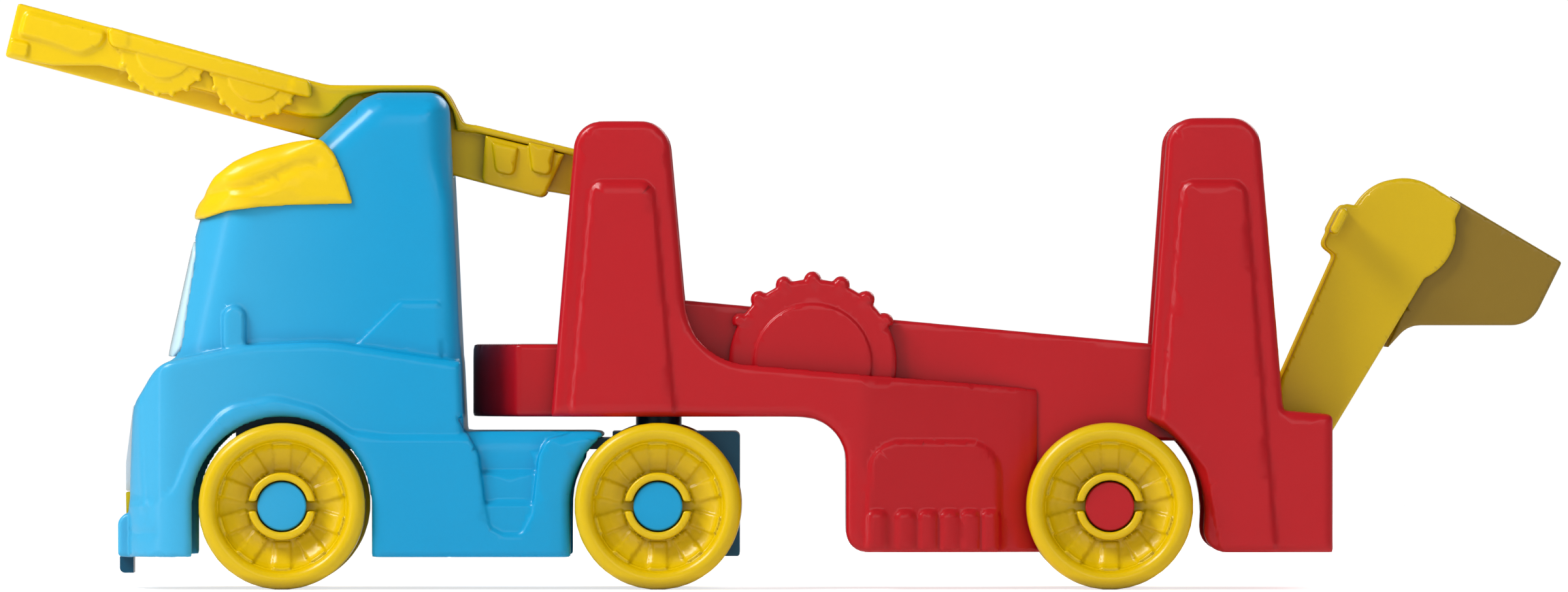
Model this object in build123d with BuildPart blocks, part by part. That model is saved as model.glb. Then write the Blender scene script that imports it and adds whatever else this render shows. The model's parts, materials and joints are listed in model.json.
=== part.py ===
from build123d import *
import math
import os

os.makedirs("parts", exist_ok=True)

# A toy carrier truck for a concrete drum: tractor, chute over the cab, semi-trailer and rear loader.
# Millimetres. X runs from the bonnet to the tail, Y to the truck's right, Z up from the ground.
# "Half" sizes are measured from the centre plane, which mirrors the left side to the right one.

# Driving sizes along the truck
coupling_x = -48.0
wheelbase = 144.0
trailer_reach = 173.0
front_overhang = 59.5
compartment_reach = 85.5
nose_reach = 71.75
nose_gap = 2.55

# Driving sizes across the truck
half_width = 70.0
wheel_width = 20.0
skirt_half = 66.0
cab_half = 60.0
visor_half = 62.6
side_half = 62.0
side_taper = 14.0
chute_half = 24.0
chute_rim_half = 30.0
chute_side_half = 33.0
loader_half = 39.0
grille_half = 31.0
windscreen_half = 35.0

# Driving heights
wheel_radius = 32.0
skirt_z = 12.5
tower_height = 129.75
post_height = 118.75
floor_z = 14.3

# Walls, pins and clearances
wall = 2.5
chute_wall = 2.0
arm_thickness = 3.0
pin_radius = 5.0
rod_radius = 3.0
kingpin_radius = 6.0
screw_radius = 1.5
running_gap = 0.06
face_gap = 0.5
slot_gap = 0.6
arch_gap = 1.5
rear_arch_gap = 4.0
pad_height = 1.2

# Derived places
front_x = coupling_x - wheelbase
trailer_x = coupling_x + trailer_reach
tail_x = trailer_x + compartment_reach
bonnet_x = front_x - front_overhang
cab_back = coupling_x - nose_reach - nose_gap
deck = 2 * wheel_radius - 3.25
underside = 2 * wheel_radius + 2.25
wheel_inner = half_width - wheel_width
chassis_half = wheel_inner - 4
bed_half = wheel_inner - 3


def side_face(corners, y=0.0, grow=0.0):
    """Outline seen from the side, each corner (x, z, radius), as a face at the given y."""
    with BuildSketch(Plane.XZ.offset(-y)) as face:
        with BuildLine():
            FilletPolyline(*[(x, z) for x, z, _ in corners], radius=[r for *_, r in corners], close=True)
        make_face()
        if grow:
            offset(amount=grow, kind=Kind.INTERSECTION)
    return face.sketch


def slab(corners, y_from, y_to, grow=0.0, mode=Mode.ADD):
    """Side outline extruded between two places across the truck."""
    extrude(side_face(corners, y_from, grow), amount=y_from - y_to, mode=mode)


def plan_face(corners, z):
    """Outline seen from above, each corner (x, y, radius), as a face at the given height."""
    with BuildSketch(Plane.XY.offset(z)) as face:
        with BuildLine():
            FilletPolyline(*[(x, y) for x, y, _ in corners], radius=[r for *_, r in corners], close=True)
        make_face()
    return face.sketch


def column(corners, z_from, z_to, mode=Mode.ADD):
    """Plan outline extruded between two heights."""
    extrude(plan_face(corners, z_from), amount=z_to - z_from, mode=mode)


def disc_face(x, z, radius, y):
    """Round face seen from the side."""
    with BuildSketch(Plane.XZ.offset(-y)) as face:
        with Locations((x, z)):
            Circle(radius)
    return face.sketch


def barrel(x, z, radius, y_from, y_to, mode=Mode.ADD):
    """Cylinder lying across the truck."""
    extrude(disc_face(x, z, radius, y_from), amount=y_from - y_to, mode=mode)


def upright(x, y, radius, z_from, z_to, mode=Mode.ADD):
    """Cylinder standing upright."""
    with BuildSketch(Plane.XY.offset(z_from)) as face:
        with Locations((x, y)):
            Circle(radius)
    extrude(face.sketch, amount=z_to - z_from, mode=mode)


def mirrored(piece):
    """The same piece on the truck's other side."""
    with BuildPart() as other:
        add(mirror(piece.part, about=Plane.XZ, mode=Mode.PRIVATE))
    return other


def along(start, end, x):
    """Height at x on the line through two (x, z) points."""
    return start[1] + (end[1] - start[1]) * (x - start[0]) / (end[0] - start[0])


# Wheels and their pins. The profile is (radius, distance from the centre plane), turned about the axle.
rim_lip = 3.9
hub_radius = 9.0
cap_radius = 9.4
cap_pocket = 9.8
snap_ring_radius = 12.7
snap_slot = 3.7
web_inner = half_width - 11.5
web_outer = half_width - 8.5
snap_top = half_width - 3.0
tile_count = 10
pin_depth = 14.0


def make_wheel(x, side):
    """Dished wheel with ten raised tiles and a split snap ring round its pin's cap."""
    dish_radius = wheel_radius - 2 * rim_lip
    lip_start = half_width - rim_lip
    axle = Axis((x, 0, wheel_radius), (0, 1, 0))
    face_plane = Plane((x, side * (web_outer - 1), wheel_radius), x_dir=(1, 0, 0), z_dir=(0, side, 0))
    profile = [
        (pin_radius + running_gap, wheel_inner),
        (hub_radius, wheel_inner),
        (hub_radius, web_inner),
        (wheel_radius - 5, web_inner),
        (wheel_radius - 4, wheel_inner),
        (wheel_radius - 1.5, wheel_inner),
        (wheel_radius, wheel_inner + 1.5),
        (wheel_radius, lip_start),
    ]
    with BuildPart() as wheel:
        with BuildSketch(Plane((x, 0, wheel_radius), x_dir=(1, 0, 0), z_dir=(0, 0, 1))) as section:
            with BuildLine():
                outer = Polyline(*[(r, side * d) for r, d in profile])
                lip = ThreePointArc(
                    outer @ 1, (wheel_radius - rim_lip, side * half_width), (dish_radius, side * lip_start)
                )
                Polyline(
                    lip @ 1,
                    (dish_radius, side * (web_outer + 2)),
                    (snap_ring_radius, side * web_outer),
                    (pin_radius + running_gap, side * web_outer),
                    outer @ 0,
                )
            make_face()
        revolve(section.sketch, axis=axle)
        with BuildSketch(face_plane) as tiles:
            with PolarLocations(0, tile_count, start_angle=90):
                Polygon(
                    (snap_ring_radius + 0.8, -3.1),
                    (dish_radius - 0.6, -3.6),
                    (dish_radius - 0.6, 3.6),
                    (snap_ring_radius + 0.8, 3.1),
                    align=None,
                )
        extrude(tiles.sketch, amount=1 + 2.6)
        with BuildSketch(face_plane) as snap_ring:
            RegularPolygon(snap_ring_radius, tile_count, rotation=18)
            Circle(cap_pocket, mode=Mode.SUBTRACT)
            Rectangle(4 * snap_ring_radius, snap_slot, mode=Mode.SUBTRACT)
        extrude(snap_ring.sketch, amount=1 + snap_top - web_outer)
    return wheel


def make_axle_pin(x, side):
    """Stub pin pressed into its boss, with a flat cap that holds the wheel on."""
    with BuildPart() as pin:
        barrel(x, wheel_radius, pin_radius, side * (wheel_inner - pin_depth), side * (web_outer + face_gap))
        barrel(x, wheel_radius, cap_radius, side * (web_outer + face_gap), side * (snap_top - 1))
        fillet(pin.edges().filter_by(GeomType.CIRCLE).group_by(Axis.Y)[-1 if side > 0 else 0], 0.8)
    return pin


# Cab body: lower body with bonnet, wings, skirts and deck, under the cab and its tower
low_outline = [
    (bonnet_x, skirt_z - wall, 0),
    (bonnet_x, deck - 20.75, 10),
    (bonnet_x + 2, deck + 9.25, 10),
    (front_x - 47.5, deck + 26, 14),
    (front_x - 14, deck + 33, 60),
    (front_x + 17, deck + 34.5, 60),
    (cab_back - 1.2, deck + 26.5, 0),
    (cab_back, deck, 0),
    (coupling_x, deck, 0),
    (coupling_x, skirt_z - wall, 0),
]
screen_foot = (front_x - 44, deck + 31.25)
screen_head = (front_x - 35, deck + 72.25)
up_outline = [
    (front_x - 46, deck - 6, 0),
    (*screen_foot, 0),
    (*screen_head, 4),
    (front_x - 30, deck + 88, 12),
    (front_x - 17, deck + 101, 12),
    (front_x + 8, deck + 106.5, 8),
    (front_x + 16.5, deck + 114.5, 8),
    (front_x + 31, deck + 127.5, 8),
    (front_x + 37, deck + tower_height, 3),
    (cab_back - 6, deck + tower_height, 8),
    (cab_back, deck, 0),
    (cab_back, deck - 6, 0),
]
low_corner = 26.0
up_corner = 24.0

# The chute's straight underside and its rim, which steps over the tower
chute_foot = (front_x - 107, deck + 143.7)
chute_tail = (front_x + 78, deck + 94.75)


def chute_under(x, drop=0.0):
    """Point on the chute's underside, or a drop below it."""
    return (x, along(chute_foot, chute_tail, x) - drop)


slot_corners = [
    (*chute_under(front_x - 8, slot_gap), 0),
    (*chute_under(cab_back + 12, slot_gap), 0),
    (cab_back + 12, deck + tower_height + 40, 0),
    (front_x - 8, deck + tower_height + 40, 0),
]
slot_half = chute_half + slot_gap
plan_low = [
    (bonnet_x, -skirt_half, low_corner),
    (bonnet_x, skirt_half, low_corner),
    (coupling_x, skirt_half, 0),
    (coupling_x, -skirt_half, 0),
]


def cut_arch(x, radius):
    """Wheel arch through the whole body, open downwards."""
    barrel(x, wheel_radius, radius, skirt_half + 1, -skirt_half - 1, mode=Mode.SUBTRACT)
    box = [
        (x - radius, -1, 0),
        (x - radius, wheel_radius, 0),
        (x + radius, wheel_radius, 0),
        (x + radius, -1, 0),
    ]
    slab(box, skirt_half + 1, -skirt_half - 1, mode=Mode.SUBTRACT)


def make_upper(half, grow):
    """Cab and tower as one solid block, its front corners rounded along the windscreen's slope."""
    lean = (screen_head[0] - screen_foot[0], 0, screen_head[1] - screen_foot[1])
    foot_z = deck - 8
    foot_x = screen_foot[0] + (foot_z - screen_foot[1]) * lean[0] / lean[2] - grow
    plan = [(foot_x, -half, up_corner), (foot_x, half, up_corner), (0, half, 0), (0, -half, 0)]
    with BuildPart() as block:
        slab(up_outline, half, -half, grow)
        extrude(plan_face(plan, foot_z), amount=tower_height + 30, dir=lean, mode=Mode.INTERSECT)
    return block


with BuildPart() as cab_low:
    slab(low_outline, skirt_half, -skirt_half)
    column(plan_low, skirt_z, deck + 40, mode=Mode.INTERSECT)

with BuildPart() as cab_low_hollow:
    slab(low_outline, skirt_half - wall, wall - skirt_half, grow=-wall)
    inner_plan = [
        (bonnet_x + wall, wall - skirt_half, low_corner - wall),
        (bonnet_x + wall, skirt_half - wall, low_corner - wall),
        (coupling_x, skirt_half - wall, 0),
        (coupling_x, wall - skirt_half, 0),
    ]
    column(inner_plan, 0, deck + 40, mode=Mode.INTERSECT)

with BuildPart() as cab_hollow:
    add(make_upper(cab_half - wall, -wall).part)
    add(cab_low_hollow.part)
    slab(
        [(x, z - wall if z < deck + tower_height else z, r) for x, z, r in slot_corners],
        slot_half + wall,
        -slot_half - wall,
        mode=Mode.SUBTRACT,
    )

# Bumper bar standing in front of the headlamps, and the pockets of grille and headlamps
bumper_half = 46.0
bumper_outline = [
    (bonnet_x + 1.5, skirt_z, 0),
    (bonnet_x - 3.8, skirt_z, 1.5),
    (bonnet_x - 3.8, skirt_z + 14, 4),
    (bonnet_x - 1.2, skirt_z + 16.5, 1),
    (bonnet_x + 0.2, skirt_z + 16.5, 0.5),
    (bonnet_x + 0.2, skirt_z + 7, 0.3),
    (bonnet_x + 1.5, skirt_z + 6.5, 0),
]
grille_outline = [
    (bonnet_x - 1, deck - 23.05, 0.6),
    (bonnet_x - 1, deck - 12, 20),
    (bonnet_x + 1.9, deck + 10.25, 1),
    (bonnet_x + 3.6, deck + 9.75, 0),
    (bonnet_x + 1.2, deck - 12, 10),
    (bonnet_x + 1.2, deck - 23.05, 0),
]
lamp_outline = [
    (bonnet_x - 0.9, deck - 23.45, 0.6),
    (bonnet_x - 0.6, deck - 37.75, 1),
    (bonnet_x + 1.4, deck - 37.75, 0),
    (bonnet_x + 1.2, deck - 23.45, 0),
]
lamp_inner = 17.0
lamp_outer = 37.0
screen_angle = math.degrees(math.atan2(screen_head[0] - screen_foot[0], screen_head[1] - screen_foot[1]))
screen_middle = ((screen_foot[0] + screen_head[0]) / 2, 0, (screen_foot[1] + screen_head[1]) / 2)
screen_plane = Plane(screen_middle, x_dir=(0, 1, 0), z_dir=(-1, 0, math.tan(math.radians(screen_angle))))
screen_height = 38.0
screen_bulge = 1.0
screw_y = 24.0
front_screw_x = front_x - 44
deck_screw_x = cab_back + 14
screws_below_deck = [(deck_screw_x, screw_y), (deck_screw_x, -screw_y)]
screws_below_bonnet = [(front_screw_x, screw_y), (front_screw_x, -screw_y)]
bridge_top = 2 * wheel_radius + 2
tab_half = 15.0
tab_notch = 3.25
step_x = cab_back + 24

with BuildPart() as cab_shell:
    add(cab_low.part)
    add(make_upper(cab_half, 0).part)
    cut_arch(front_x, wheel_radius + arch_gap)
    cut_arch(coupling_x, wheel_radius + arch_gap)
    add(cab_hollow.part, mode=Mode.SUBTRACT)
    slab(slot_corners, slot_half, -slot_half, mode=Mode.SUBTRACT)
    slab(bumper_outline, bumper_half, -bumper_half)
    notch = [
        (bonnet_x - 1.25, skirt_z - 1, 0),
        (bonnet_x - 1.25, skirt_z + tab_notch, 0),
        (bonnet_x + wall + 1, skirt_z + tab_notch, 0),
        (bonnet_x + wall + 1, skirt_z - 1, 0),
    ]
    slab(notch, tab_half + 0.2, -tab_half - 0.2, mode=Mode.SUBTRACT)
    slab(grille_outline, grille_half, -grille_half, mode=Mode.SUBTRACT)
    for side in (1, -1):
        slab(lamp_outline, side * lamp_outer, side * lamp_inner, mode=Mode.SUBTRACT)
    with BuildSketch(screen_plane.offset(-wall)) as screen_hole:
        RectangleRounded(2 * windscreen_half, screen_height, 8)
    extrude(screen_hole.sketch, amount=2 * wall, mode=Mode.SUBTRACT)
    # Skirt windows, each closed by three treads standing inside them
    for side in (1, -1):
        window = [
            (step_x - 22, deck - 5, 4),
            (step_x - 14, deck - 39, 5),
            (step_x, deck - 36.5, 4),
            (step_x + 8, deck - 8, 4),
        ]
        slab(window, side * (skirt_half + 1), side * (skirt_half - wall - 1), mode=Mode.SUBTRACT)
        for tread, tread_z in enumerate((deck - 42, deck - 27.3, deck - 15.75)):
            block = [
                (step_x - 24, tread_z, 0),
                (step_x - 24, tread_z + 16, 0),
                (step_x + 10, tread_z + 16, 0),
                (step_x + 10, tread_z, 0),
            ]
            tread_out = skirt_half - 0.8 - 0.7 * tread
            slab(block, side * tread_out, side * (skirt_half - wall - 3))
    # Screw bosses under the bonnet, with pilot holes
    for x, y in screws_below_bonnet:
        upright(x, y, 4, bridge_top, deck + 26)
        upright(x, y, screw_radius, bridge_top - 1, bridge_top + 9, mode=Mode.SUBTRACT)
    for x, y in screws_below_deck:
        upright(x, y, screw_radius, deck - 4, deck - 0.5, mode=Mode.SUBTRACT)

with BuildPart() as windscreen:
    with BuildSketch(screen_plane.offset(-wall)) as screen_sheet:
        RectangleRounded(2 * windscreen_half - 0.2, screen_height - 0.2, 7.9)
    extrude(screen_sheet.sketch, amount=wall + screen_bulge)

with BuildPart() as radiator_grille:
    slab(grille_outline, grille_half - 0.1, 0.1 - grille_half)
    with BuildSketch(Plane.YZ.offset(bonnet_x - 2)) as slots:
        with Locations((0, deck - 6.5)):
            with GridLocations(0, 6, 1, 4):
                SlotOverall(2 * grille_half - 10, 2.4)
    extrude(slots.sketch, amount=2.2, mode=Mode.SUBTRACT)

with BuildPart() as headlamp_left:
    slab(lamp_outline, 0.1 - lamp_outer, -lamp_inner - 0.1)

headlamp_right = mirrored(headlamp_left)

# Sun visor: a cap over the cab's roof whose cheeks hang down beside it
visor_outline = [
    (front_x - 34.75, deck + 80.75, 0.6),
    (front_x - 32.5, deck + 90, 8),
    (front_x - 20, deck + 104.5, 16),
    (front_x + 5, deck + 111.5, 24),
    (front_x + 15, deck + 112, 8),
    (front_x + 24, deck + 103, 12),
    (front_x + 28, deck + 86.25, 1.5),
    (front_x + 5, deck + 86, 10),
    (front_x - 20, deck + 83.25, 10),
]
visor_gap = 0.3
visor_plan = [
    (front_x - 34.75, -visor_half, low_corner),
    (front_x - 34.75, visor_half, low_corner),
    (front_x + 60, visor_half, 0),
    (front_x + 60, -visor_half, 0),
]
with BuildPart() as visor:
    slab(visor_outline, visor_half, -visor_half)
    column(visor_plan, deck + 70, deck + 120, mode=Mode.INTERSECT)
    add(make_upper(cab_half + visor_gap, visor_gap).part, mode=Mode.SUBTRACT)

# Tractor chassis: a bridge over the front wheels, axle blocks, and a tail between the drive wheels
chassis_outline = [
    (front_x - 54, skirt_z, 2),
    (front_x - 54, bridge_top, 0),
    (front_x + 42, bridge_top, 0),
    (front_x + 42, deck - wall - 0.25, 0),
    (coupling_x - 17.5, deck - wall - 0.25, 0),
    (coupling_x - 17.5, deck - 0.25, 0),
    (coupling_x + 31.25, deck - 0.25, 2),
    (coupling_x + 31.25, skirt_z + 0.25, 1),
    (coupling_x - 22, skirt_z + 0.25, 1),
    (coupling_x - 22, deck - 7, 0),
    (front_x + 18, deck - 7, 0),
    (front_x + 18, wheel_radius - 12, 1),
    (front_x - 18, wheel_radius - 12, 1),
    (front_x - 18, bridge_top - 5.5, 0),
    (front_x - 37, bridge_top - 5.5, 0),
    (front_x - 37, skirt_z, 1),
]
# Hollows that open the chassis from below, between its outer walls
chassis_bays = [
    (front_x - 54 + wall, front_x - 37 - wall, bridge_top - wall),
    (front_x - 18 + wall, front_x + 18 - wall, bridge_top - wall),
    (coupling_x - 22 + wall, coupling_x + 31.25 - wall, deck - 0.25 - 2 * wall),
]
king_seat = 14.0
with BuildPart() as tractor_chassis:
    slab(chassis_outline, chassis_half, -chassis_half)
    for bay_start, bay_end, bay_top in chassis_bays:
        bay = [(bay_start, -1, 0), (bay_start, bay_top, 0), (bay_end, bay_top, 0), (bay_end, -1, 0)]
        slab(bay, chassis_half - wall, wall - chassis_half, mode=Mode.SUBTRACT)
    for x in (front_x, coupling_x):
        for side in (1, -1):
            boss_end = side * (wheel_inner - face_gap)
            barrel(x, wheel_radius, hub_radius, side * (wheel_inner - pin_depth), boss_end)
            barrel(
                x,
                wheel_radius,
                pin_radius,
                side * (wheel_inner - pin_depth - 1),
                side * wheel_inner,
                mode=Mode.SUBTRACT,
            )
    upright(coupling_x, 0, hub_radius, deck - king_seat, deck - 1)
    upright(coupling_x, 0, kingpin_radius, deck - king_seat - 1, deck, mode=Mode.SUBTRACT)
    for x, y in screws_below_bonnet:
        upright(x, y, screw_radius + 0.2, bridge_top - wall - 1, bridge_top + 1, mode=Mode.SUBTRACT)
    for x, y in screws_below_deck:
        upright(x, y, screw_radius + 0.2, deck - 12, deck, mode=Mode.SUBTRACT)
    # Tab that hangs below the bumper, joined through the notch in the body's front wall
    tab = [
        (bonnet_x - 3.8, skirt_z - 6.5, 2),
        (bonnet_x - 3.8, skirt_z - 0.25, 0),
        (bonnet_x - 1, skirt_z - 0.25, 0),
        (bonnet_x - 1, skirt_z + tab_notch - 0.25, 0),
        (front_x - 53, skirt_z + tab_notch - 0.25, 0),
        (front_x - 53, skirt_z, 0),
        (bonnet_x + 1.5, skirt_z, 0),
        (bonnet_x + 1.5, skirt_z - 6.5, 0),
    ]
    slab(tab, tab_half, -tab_half)

# Screws are turned in from below: a head under the plate and a shank up into its pilot hole
screw_head = 3.0
with BuildPart() as chassis_screws:
    for x, y in screws_below_bonnet:
        upright(x, y, screw_radius, bridge_top - wall, bridge_top + 8)
        upright(x, y, screw_head, bridge_top - wall - 2, bridge_top - wall)
    for x, y in screws_below_deck:
        upright(x, y, screw_radius, deck - 7, deck - 0.75)
        upright(x, y, screw_head, deck - 9, deck - 7)

# Kingpin with the collar the trailer turns on, and the cap that keeps the trailer on it
collar_radius = 8.8
lift_gap = 0.25
with BuildPart() as kingpin:
    upright(coupling_x, 0, kingpin_radius, deck - king_seat, underside + wall + 3)
    upright(coupling_x, 0, collar_radius, deck - 0.25, underside - lift_gap)

with BuildPart() as kingpin_cap:
    upright(coupling_x, 0, 2 * kingpin_radius, underside + wall + lift_gap, underside + wall + 5)
    fillet(kingpin_cap.edges().group_by(Axis.Z)[-1], 1.5)
    upright(coupling_x, 0, kingpin_radius, underside + wall, underside + wall + 3, mode=Mode.SUBTRACT)

# Trailer bed: nose on the kingpin, trough between thin walls, and the loader's compartment
sill = trailer_x - 101
bulkhead_x = trailer_x + 56.5
compartment_x = trailer_x + 38
rod_x = trailer_x + 75
rod_z = deck + 1.25
trough_line = [(coupling_x + 11, deck + 50), (trailer_x + 12.75, deck + 33.75)]
rear_post_line_z = along(*trough_line, trailer_x + 59)
trough_top_front = along(*trough_line, coupling_x - 12)
nose_top = deck + 33.25
bed_outline = [
    (coupling_x - nose_reach, underside, 0),
    (sill, underside, 17.5),
    (sill, floor_z, 8),
    (trailer_x + 15, floor_z, 1),
    (trailer_x + 15, wheel_radius + 25, 1),
    (compartment_x, wheel_radius + 25, 0),
    (compartment_x, floor_z, 1),
    (tail_x - wall, floor_z, 1),
    (tail_x - wall, deck + 7, 2),
    (trailer_x + 61, deck + 7, 2),
    (trailer_x + 59, rear_post_line_z, 1),
    (coupling_x - 12, trough_top_front, 2),
    (coupling_x - 12, nose_top, 2),
    (coupling_x - nose_reach, nose_top, 2),
]
trough_top = deck + 100
trough_outline = [
    (coupling_x - nose_reach + wall, underside + wall, 0),
    (sill + wall, underside + wall, 17.5 + wall),
    (sill + wall, floor_z + wall, 1),
    (trailer_x + 15 - wall, floor_z + wall, 0),
    (trailer_x + 15 - wall, wheel_radius + 25 + wall, 0),
    (bulkhead_x, wheel_radius + 25 + wall, 0),
    (bulkhead_x, trough_top, 0),
    (coupling_x - nose_reach + wall, trough_top, 0),
]
compartment_outline = [
    (compartment_x + wall, floor_z + wall, 0),
    (tail_x + 5, floor_z + wall, 0),
    (tail_x + 5, trough_top, 0),
    (bulkhead_x + wall, trough_top, 0),
    (bulkhead_x + wall, wheel_radius + 25, 0),
    (compartment_x + wall, wheel_radius + 25, 0),
]
front_side_screws = [(coupling_x - 27, deck + 17), (coupling_x - 2, deck + 17)]
rear_side_screws = [
    (trailer_x + 26, deck + 17),
    (trailer_x + 49, deck + 17),
    (trailer_x + 50, floor_z + 13),
]


def round_nose(radius):
    """Keep only what lies within the nose's swing or behind the kingpin."""
    with BuildSketch(Plane.XY) as plan:
        with Locations((coupling_x, 0)):
            Circle(radius)
        with Locations((coupling_x, 0)):
            Rectangle(2 * trailer_reach, 2 * half_width, align=(Align.MIN, Align.CENTER))
    extrude(plan.sketch, amount=deck + tower_height, mode=Mode.INTERSECT)


with BuildPart() as trough_hollow:
    slab(trough_outline, bed_half - wall, wall - bed_half)
    round_nose(nose_reach - wall)

with BuildPart() as trailer_bed:
    slab(bed_outline, bed_half, -bed_half)
    round_nose(nose_reach)
    add(trough_hollow.part, mode=Mode.SUBTRACT)
    slab(compartment_outline, bed_half - wall, wall - bed_half, mode=Mode.SUBTRACT)
    bore_radius = kingpin_radius + running_gap
    upright(coupling_x, 0, bore_radius, underside - 1, underside + wall + 1, mode=Mode.SUBTRACT)
    for side in (1, -1):
        barrel(
            trailer_x,
            wheel_radius,
            hub_radius,
            side * (wheel_inner - pin_depth),
            side * (wheel_inner - face_gap),
        )
        bore_start = side * (wheel_inner - pin_depth - 1)
        barrel(trailer_x, wheel_radius, pin_radius, bore_start, side * wheel_inner, mode=Mode.SUBTRACT)
        barrel(rod_x, rod_z, rod_radius, bore_start, side * wheel_inner, mode=Mode.SUBTRACT)
        for x, z in front_side_screws + rear_side_screws:
            barrel(x, z, screw_radius + 0.2, bore_start, side * wheel_inner, mode=Mode.SUBTRACT)

# The bed is made as three lengths that meet face to face: nose, trough, and the tail with its compartment
bed_cuts = [coupling_x - nose_reach - wall, sill, trailer_x + 15, tail_x + wall]


def bed_length(cut_from, cut_to):
    """The part of the bed between two places along the truck."""
    with BuildPart() as length:
        add(trailer_bed.part)
        block = [(cut_from, 0, 0), (cut_from, 2 * trough_top, 0), (cut_to, 2 * trough_top, 0), (cut_to, 0, 0)]
        slab(block, half_width, -half_width, mode=Mode.INTERSECT)
    return length


trailer_nose, trailer_trough, trailer_tail = map(bed_length, bed_cuts[:-1], bed_cuts[1:])

# Front sides: post and outer wall, a moulded skin that slopes in towards the bed behind the sill
taper_start = coupling_x + 78
wheel_tuck = 6.5
taper_end = trailer_x - wheel_radius + wheel_tuck
post_top = deck + post_height
front_side_outline = [
    (coupling_x - 31.5, post_top, 11),
    (coupling_x + 3.8, post_top, 11),
    (coupling_x + 12, deck + 27.75, 26),
    (taper_end - 9.5, deck + 16.75, 12),
    (taper_end, deck + 8.25, 2),
    (taper_end, floor_z, 0),
    (sill, floor_z, 8),
    (sill, underside, 17.5),
    (coupling_x - 41, underside, 0.5),
]
# Opening above the wall, so that the disc can stand in the pocket behind it
pocket_mouth = [
    (coupling_x + 14, deck + 22, 0),
    (taper_end - wall, deck + 4, 0),
    (taper_end - wall, deck + 60, 0),
    (coupling_x + 14, deck + 60, 0),
]


def skin_plan(outer):
    """Plan of a front side from the bed out to a skin that tapers in behind the sill."""
    slope = side_taper / (taper_end - taper_start)
    end_x = min(taper_end, taper_start + (outer - bed_half) / slope)
    end_half = outer - slope * (end_x - taper_start)
    plan = [
        (coupling_x - 60, -bed_half, 0),
        (coupling_x - 60, -outer, 0),
        (taper_start, -outer, 0),
        (end_x, -end_half, 0),
    ]
    if end_x == taper_end:
        plan.append((taper_end, -bed_half, 0))
    return plan


def make_screw_boss(x, z, reach):
    """Boss with a pilot hole, standing from a side's skin to the bed."""
    barrel(x, z, 4, -bed_half, -reach)
    barrel(x, z, screw_radius, -bed_half, -bed_half - 8, mode=Mode.SUBTRACT)


with BuildPart() as front_hollow:
    slab(front_side_outline, -bed_half, -side_half, grow=-wall)
    slab(pocket_mouth, -bed_half, -side_half)
    column(skin_plan(side_half - wall), 0, deck + tower_height, mode=Mode.INTERSECT)

front_pad_outline = [
    (coupling_x - 25.3, deck + 95.25, 5),
    (coupling_x - 2.2, deck + 95.25, 5),
    (coupling_x + 6.2, underside, 0),
    (coupling_x - 33.4, underside, 0),
]
toolbox_outline = [
    (sill + 7, floor_z, 0),
    (sill + 9, deck - 4.25, 11),
    (sill + 58.5, deck - 4.25, 11),
    (sill + 59.5, floor_z, 0),
]
rib_starts = [8.2, 19.0, 27.75, 36.0, 43.75, 51.8]
rib_width = 7.2
with BuildPart() as toolbox:
    slab(toolbox_outline, -bed_half, -side_half - 2)
    column(skin_plan(side_half + 1), 0, deck, mode=Mode.INTERSECT)

with BuildPart() as ribs:
    for start in rib_starts:
        rib = [
            (sill + start, floor_z, 0),
            (sill + start, floor_z + 15.7, 3.5),
            (sill + start + rib_width, floor_z + 15.7, 3.5),
            (sill + start + rib_width, floor_z, 0),
        ]
        slab(rib, -bed_half, -side_half - 2)
    column(skin_plan(side_half + 1.9), 0, deck, mode=Mode.INTERSECT)

# Wall that closes the post's inner side, next to the bed
post_outline = [
    (coupling_x - 31.5, post_top, 11),
    (coupling_x + 3.8, post_top, 11),
    (coupling_x + 13, underside, 0),
    (coupling_x - 41, underside, 0.5),
]

with BuildPart() as front_side_left:
    slab(front_side_outline, -bed_half, -side_half)
    column(skin_plan(side_half), 0, deck + tower_height, mode=Mode.INTERSECT)
    add(toolbox.part)
    add(ribs.part)
    add(front_hollow.part, mode=Mode.SUBTRACT)
    slab(post_outline, -bed_half, -bed_half - wall)
    slab(front_pad_outline, wall / 2 - side_half, -side_half - pad_height)
    for x, z in front_side_screws:
        make_screw_boss(x, z, side_half - wall)

rear_side_outline = [
    (trailer_x + 22.3, post_top + 1.25, 11),
    (trailer_x + 57, post_top + 1.25, 11),
    (trailer_x + 66.6, deck + 8, 2),
    (tail_x, deck + 6.4, 2.5),
    (tail_x, floor_z, 0.6),
    (trailer_x + wheel_radius + rear_arch_gap, floor_z, 8.5),
    (trailer_x + wheel_radius + rear_arch_gap, wheel_radius, 0),
    (trailer_x + 14, deck + 3, 0),
]
rear_arch = wheel_radius + rear_arch_gap
with BuildPart() as rear_hollow:
    slab(rear_side_outline, -bed_half - wall, wall - side_half, grow=-wall)
    barrel(trailer_x, wheel_radius, rear_arch + wall, -bed_half, -side_half, mode=Mode.SUBTRACT)

with BuildPart() as rear_side_left:
    slab(rear_side_outline, -bed_half, -side_half)
    add(rear_hollow.part, mode=Mode.SUBTRACT)
    barrel(trailer_x, wheel_radius, rear_arch, -bed_half + 1, -side_half - 1, mode=Mode.SUBTRACT)
    rear_pad_outline = [
        (trailer_x + 28, deck + 95.25, 5),
        (trailer_x + 51.6, deck + 95.25, 5),
        (trailer_x + 64, floor_z, 0),
        (trailer_x + 44, floor_z, 0),
        (trailer_x + 36.5, wheel_radius + 14, 6),
        (trailer_x + 20.5, deck + 5, 2),
    ]
    slab(rear_pad_outline, wall / 2 - side_half, -side_half - pad_height)
    for x, z in rear_side_screws:
        make_screw_boss(x, z, side_half - wall)

front_side_right = mirrored(front_side_left)
rear_side_right = mirrored(rear_side_left)

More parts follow.
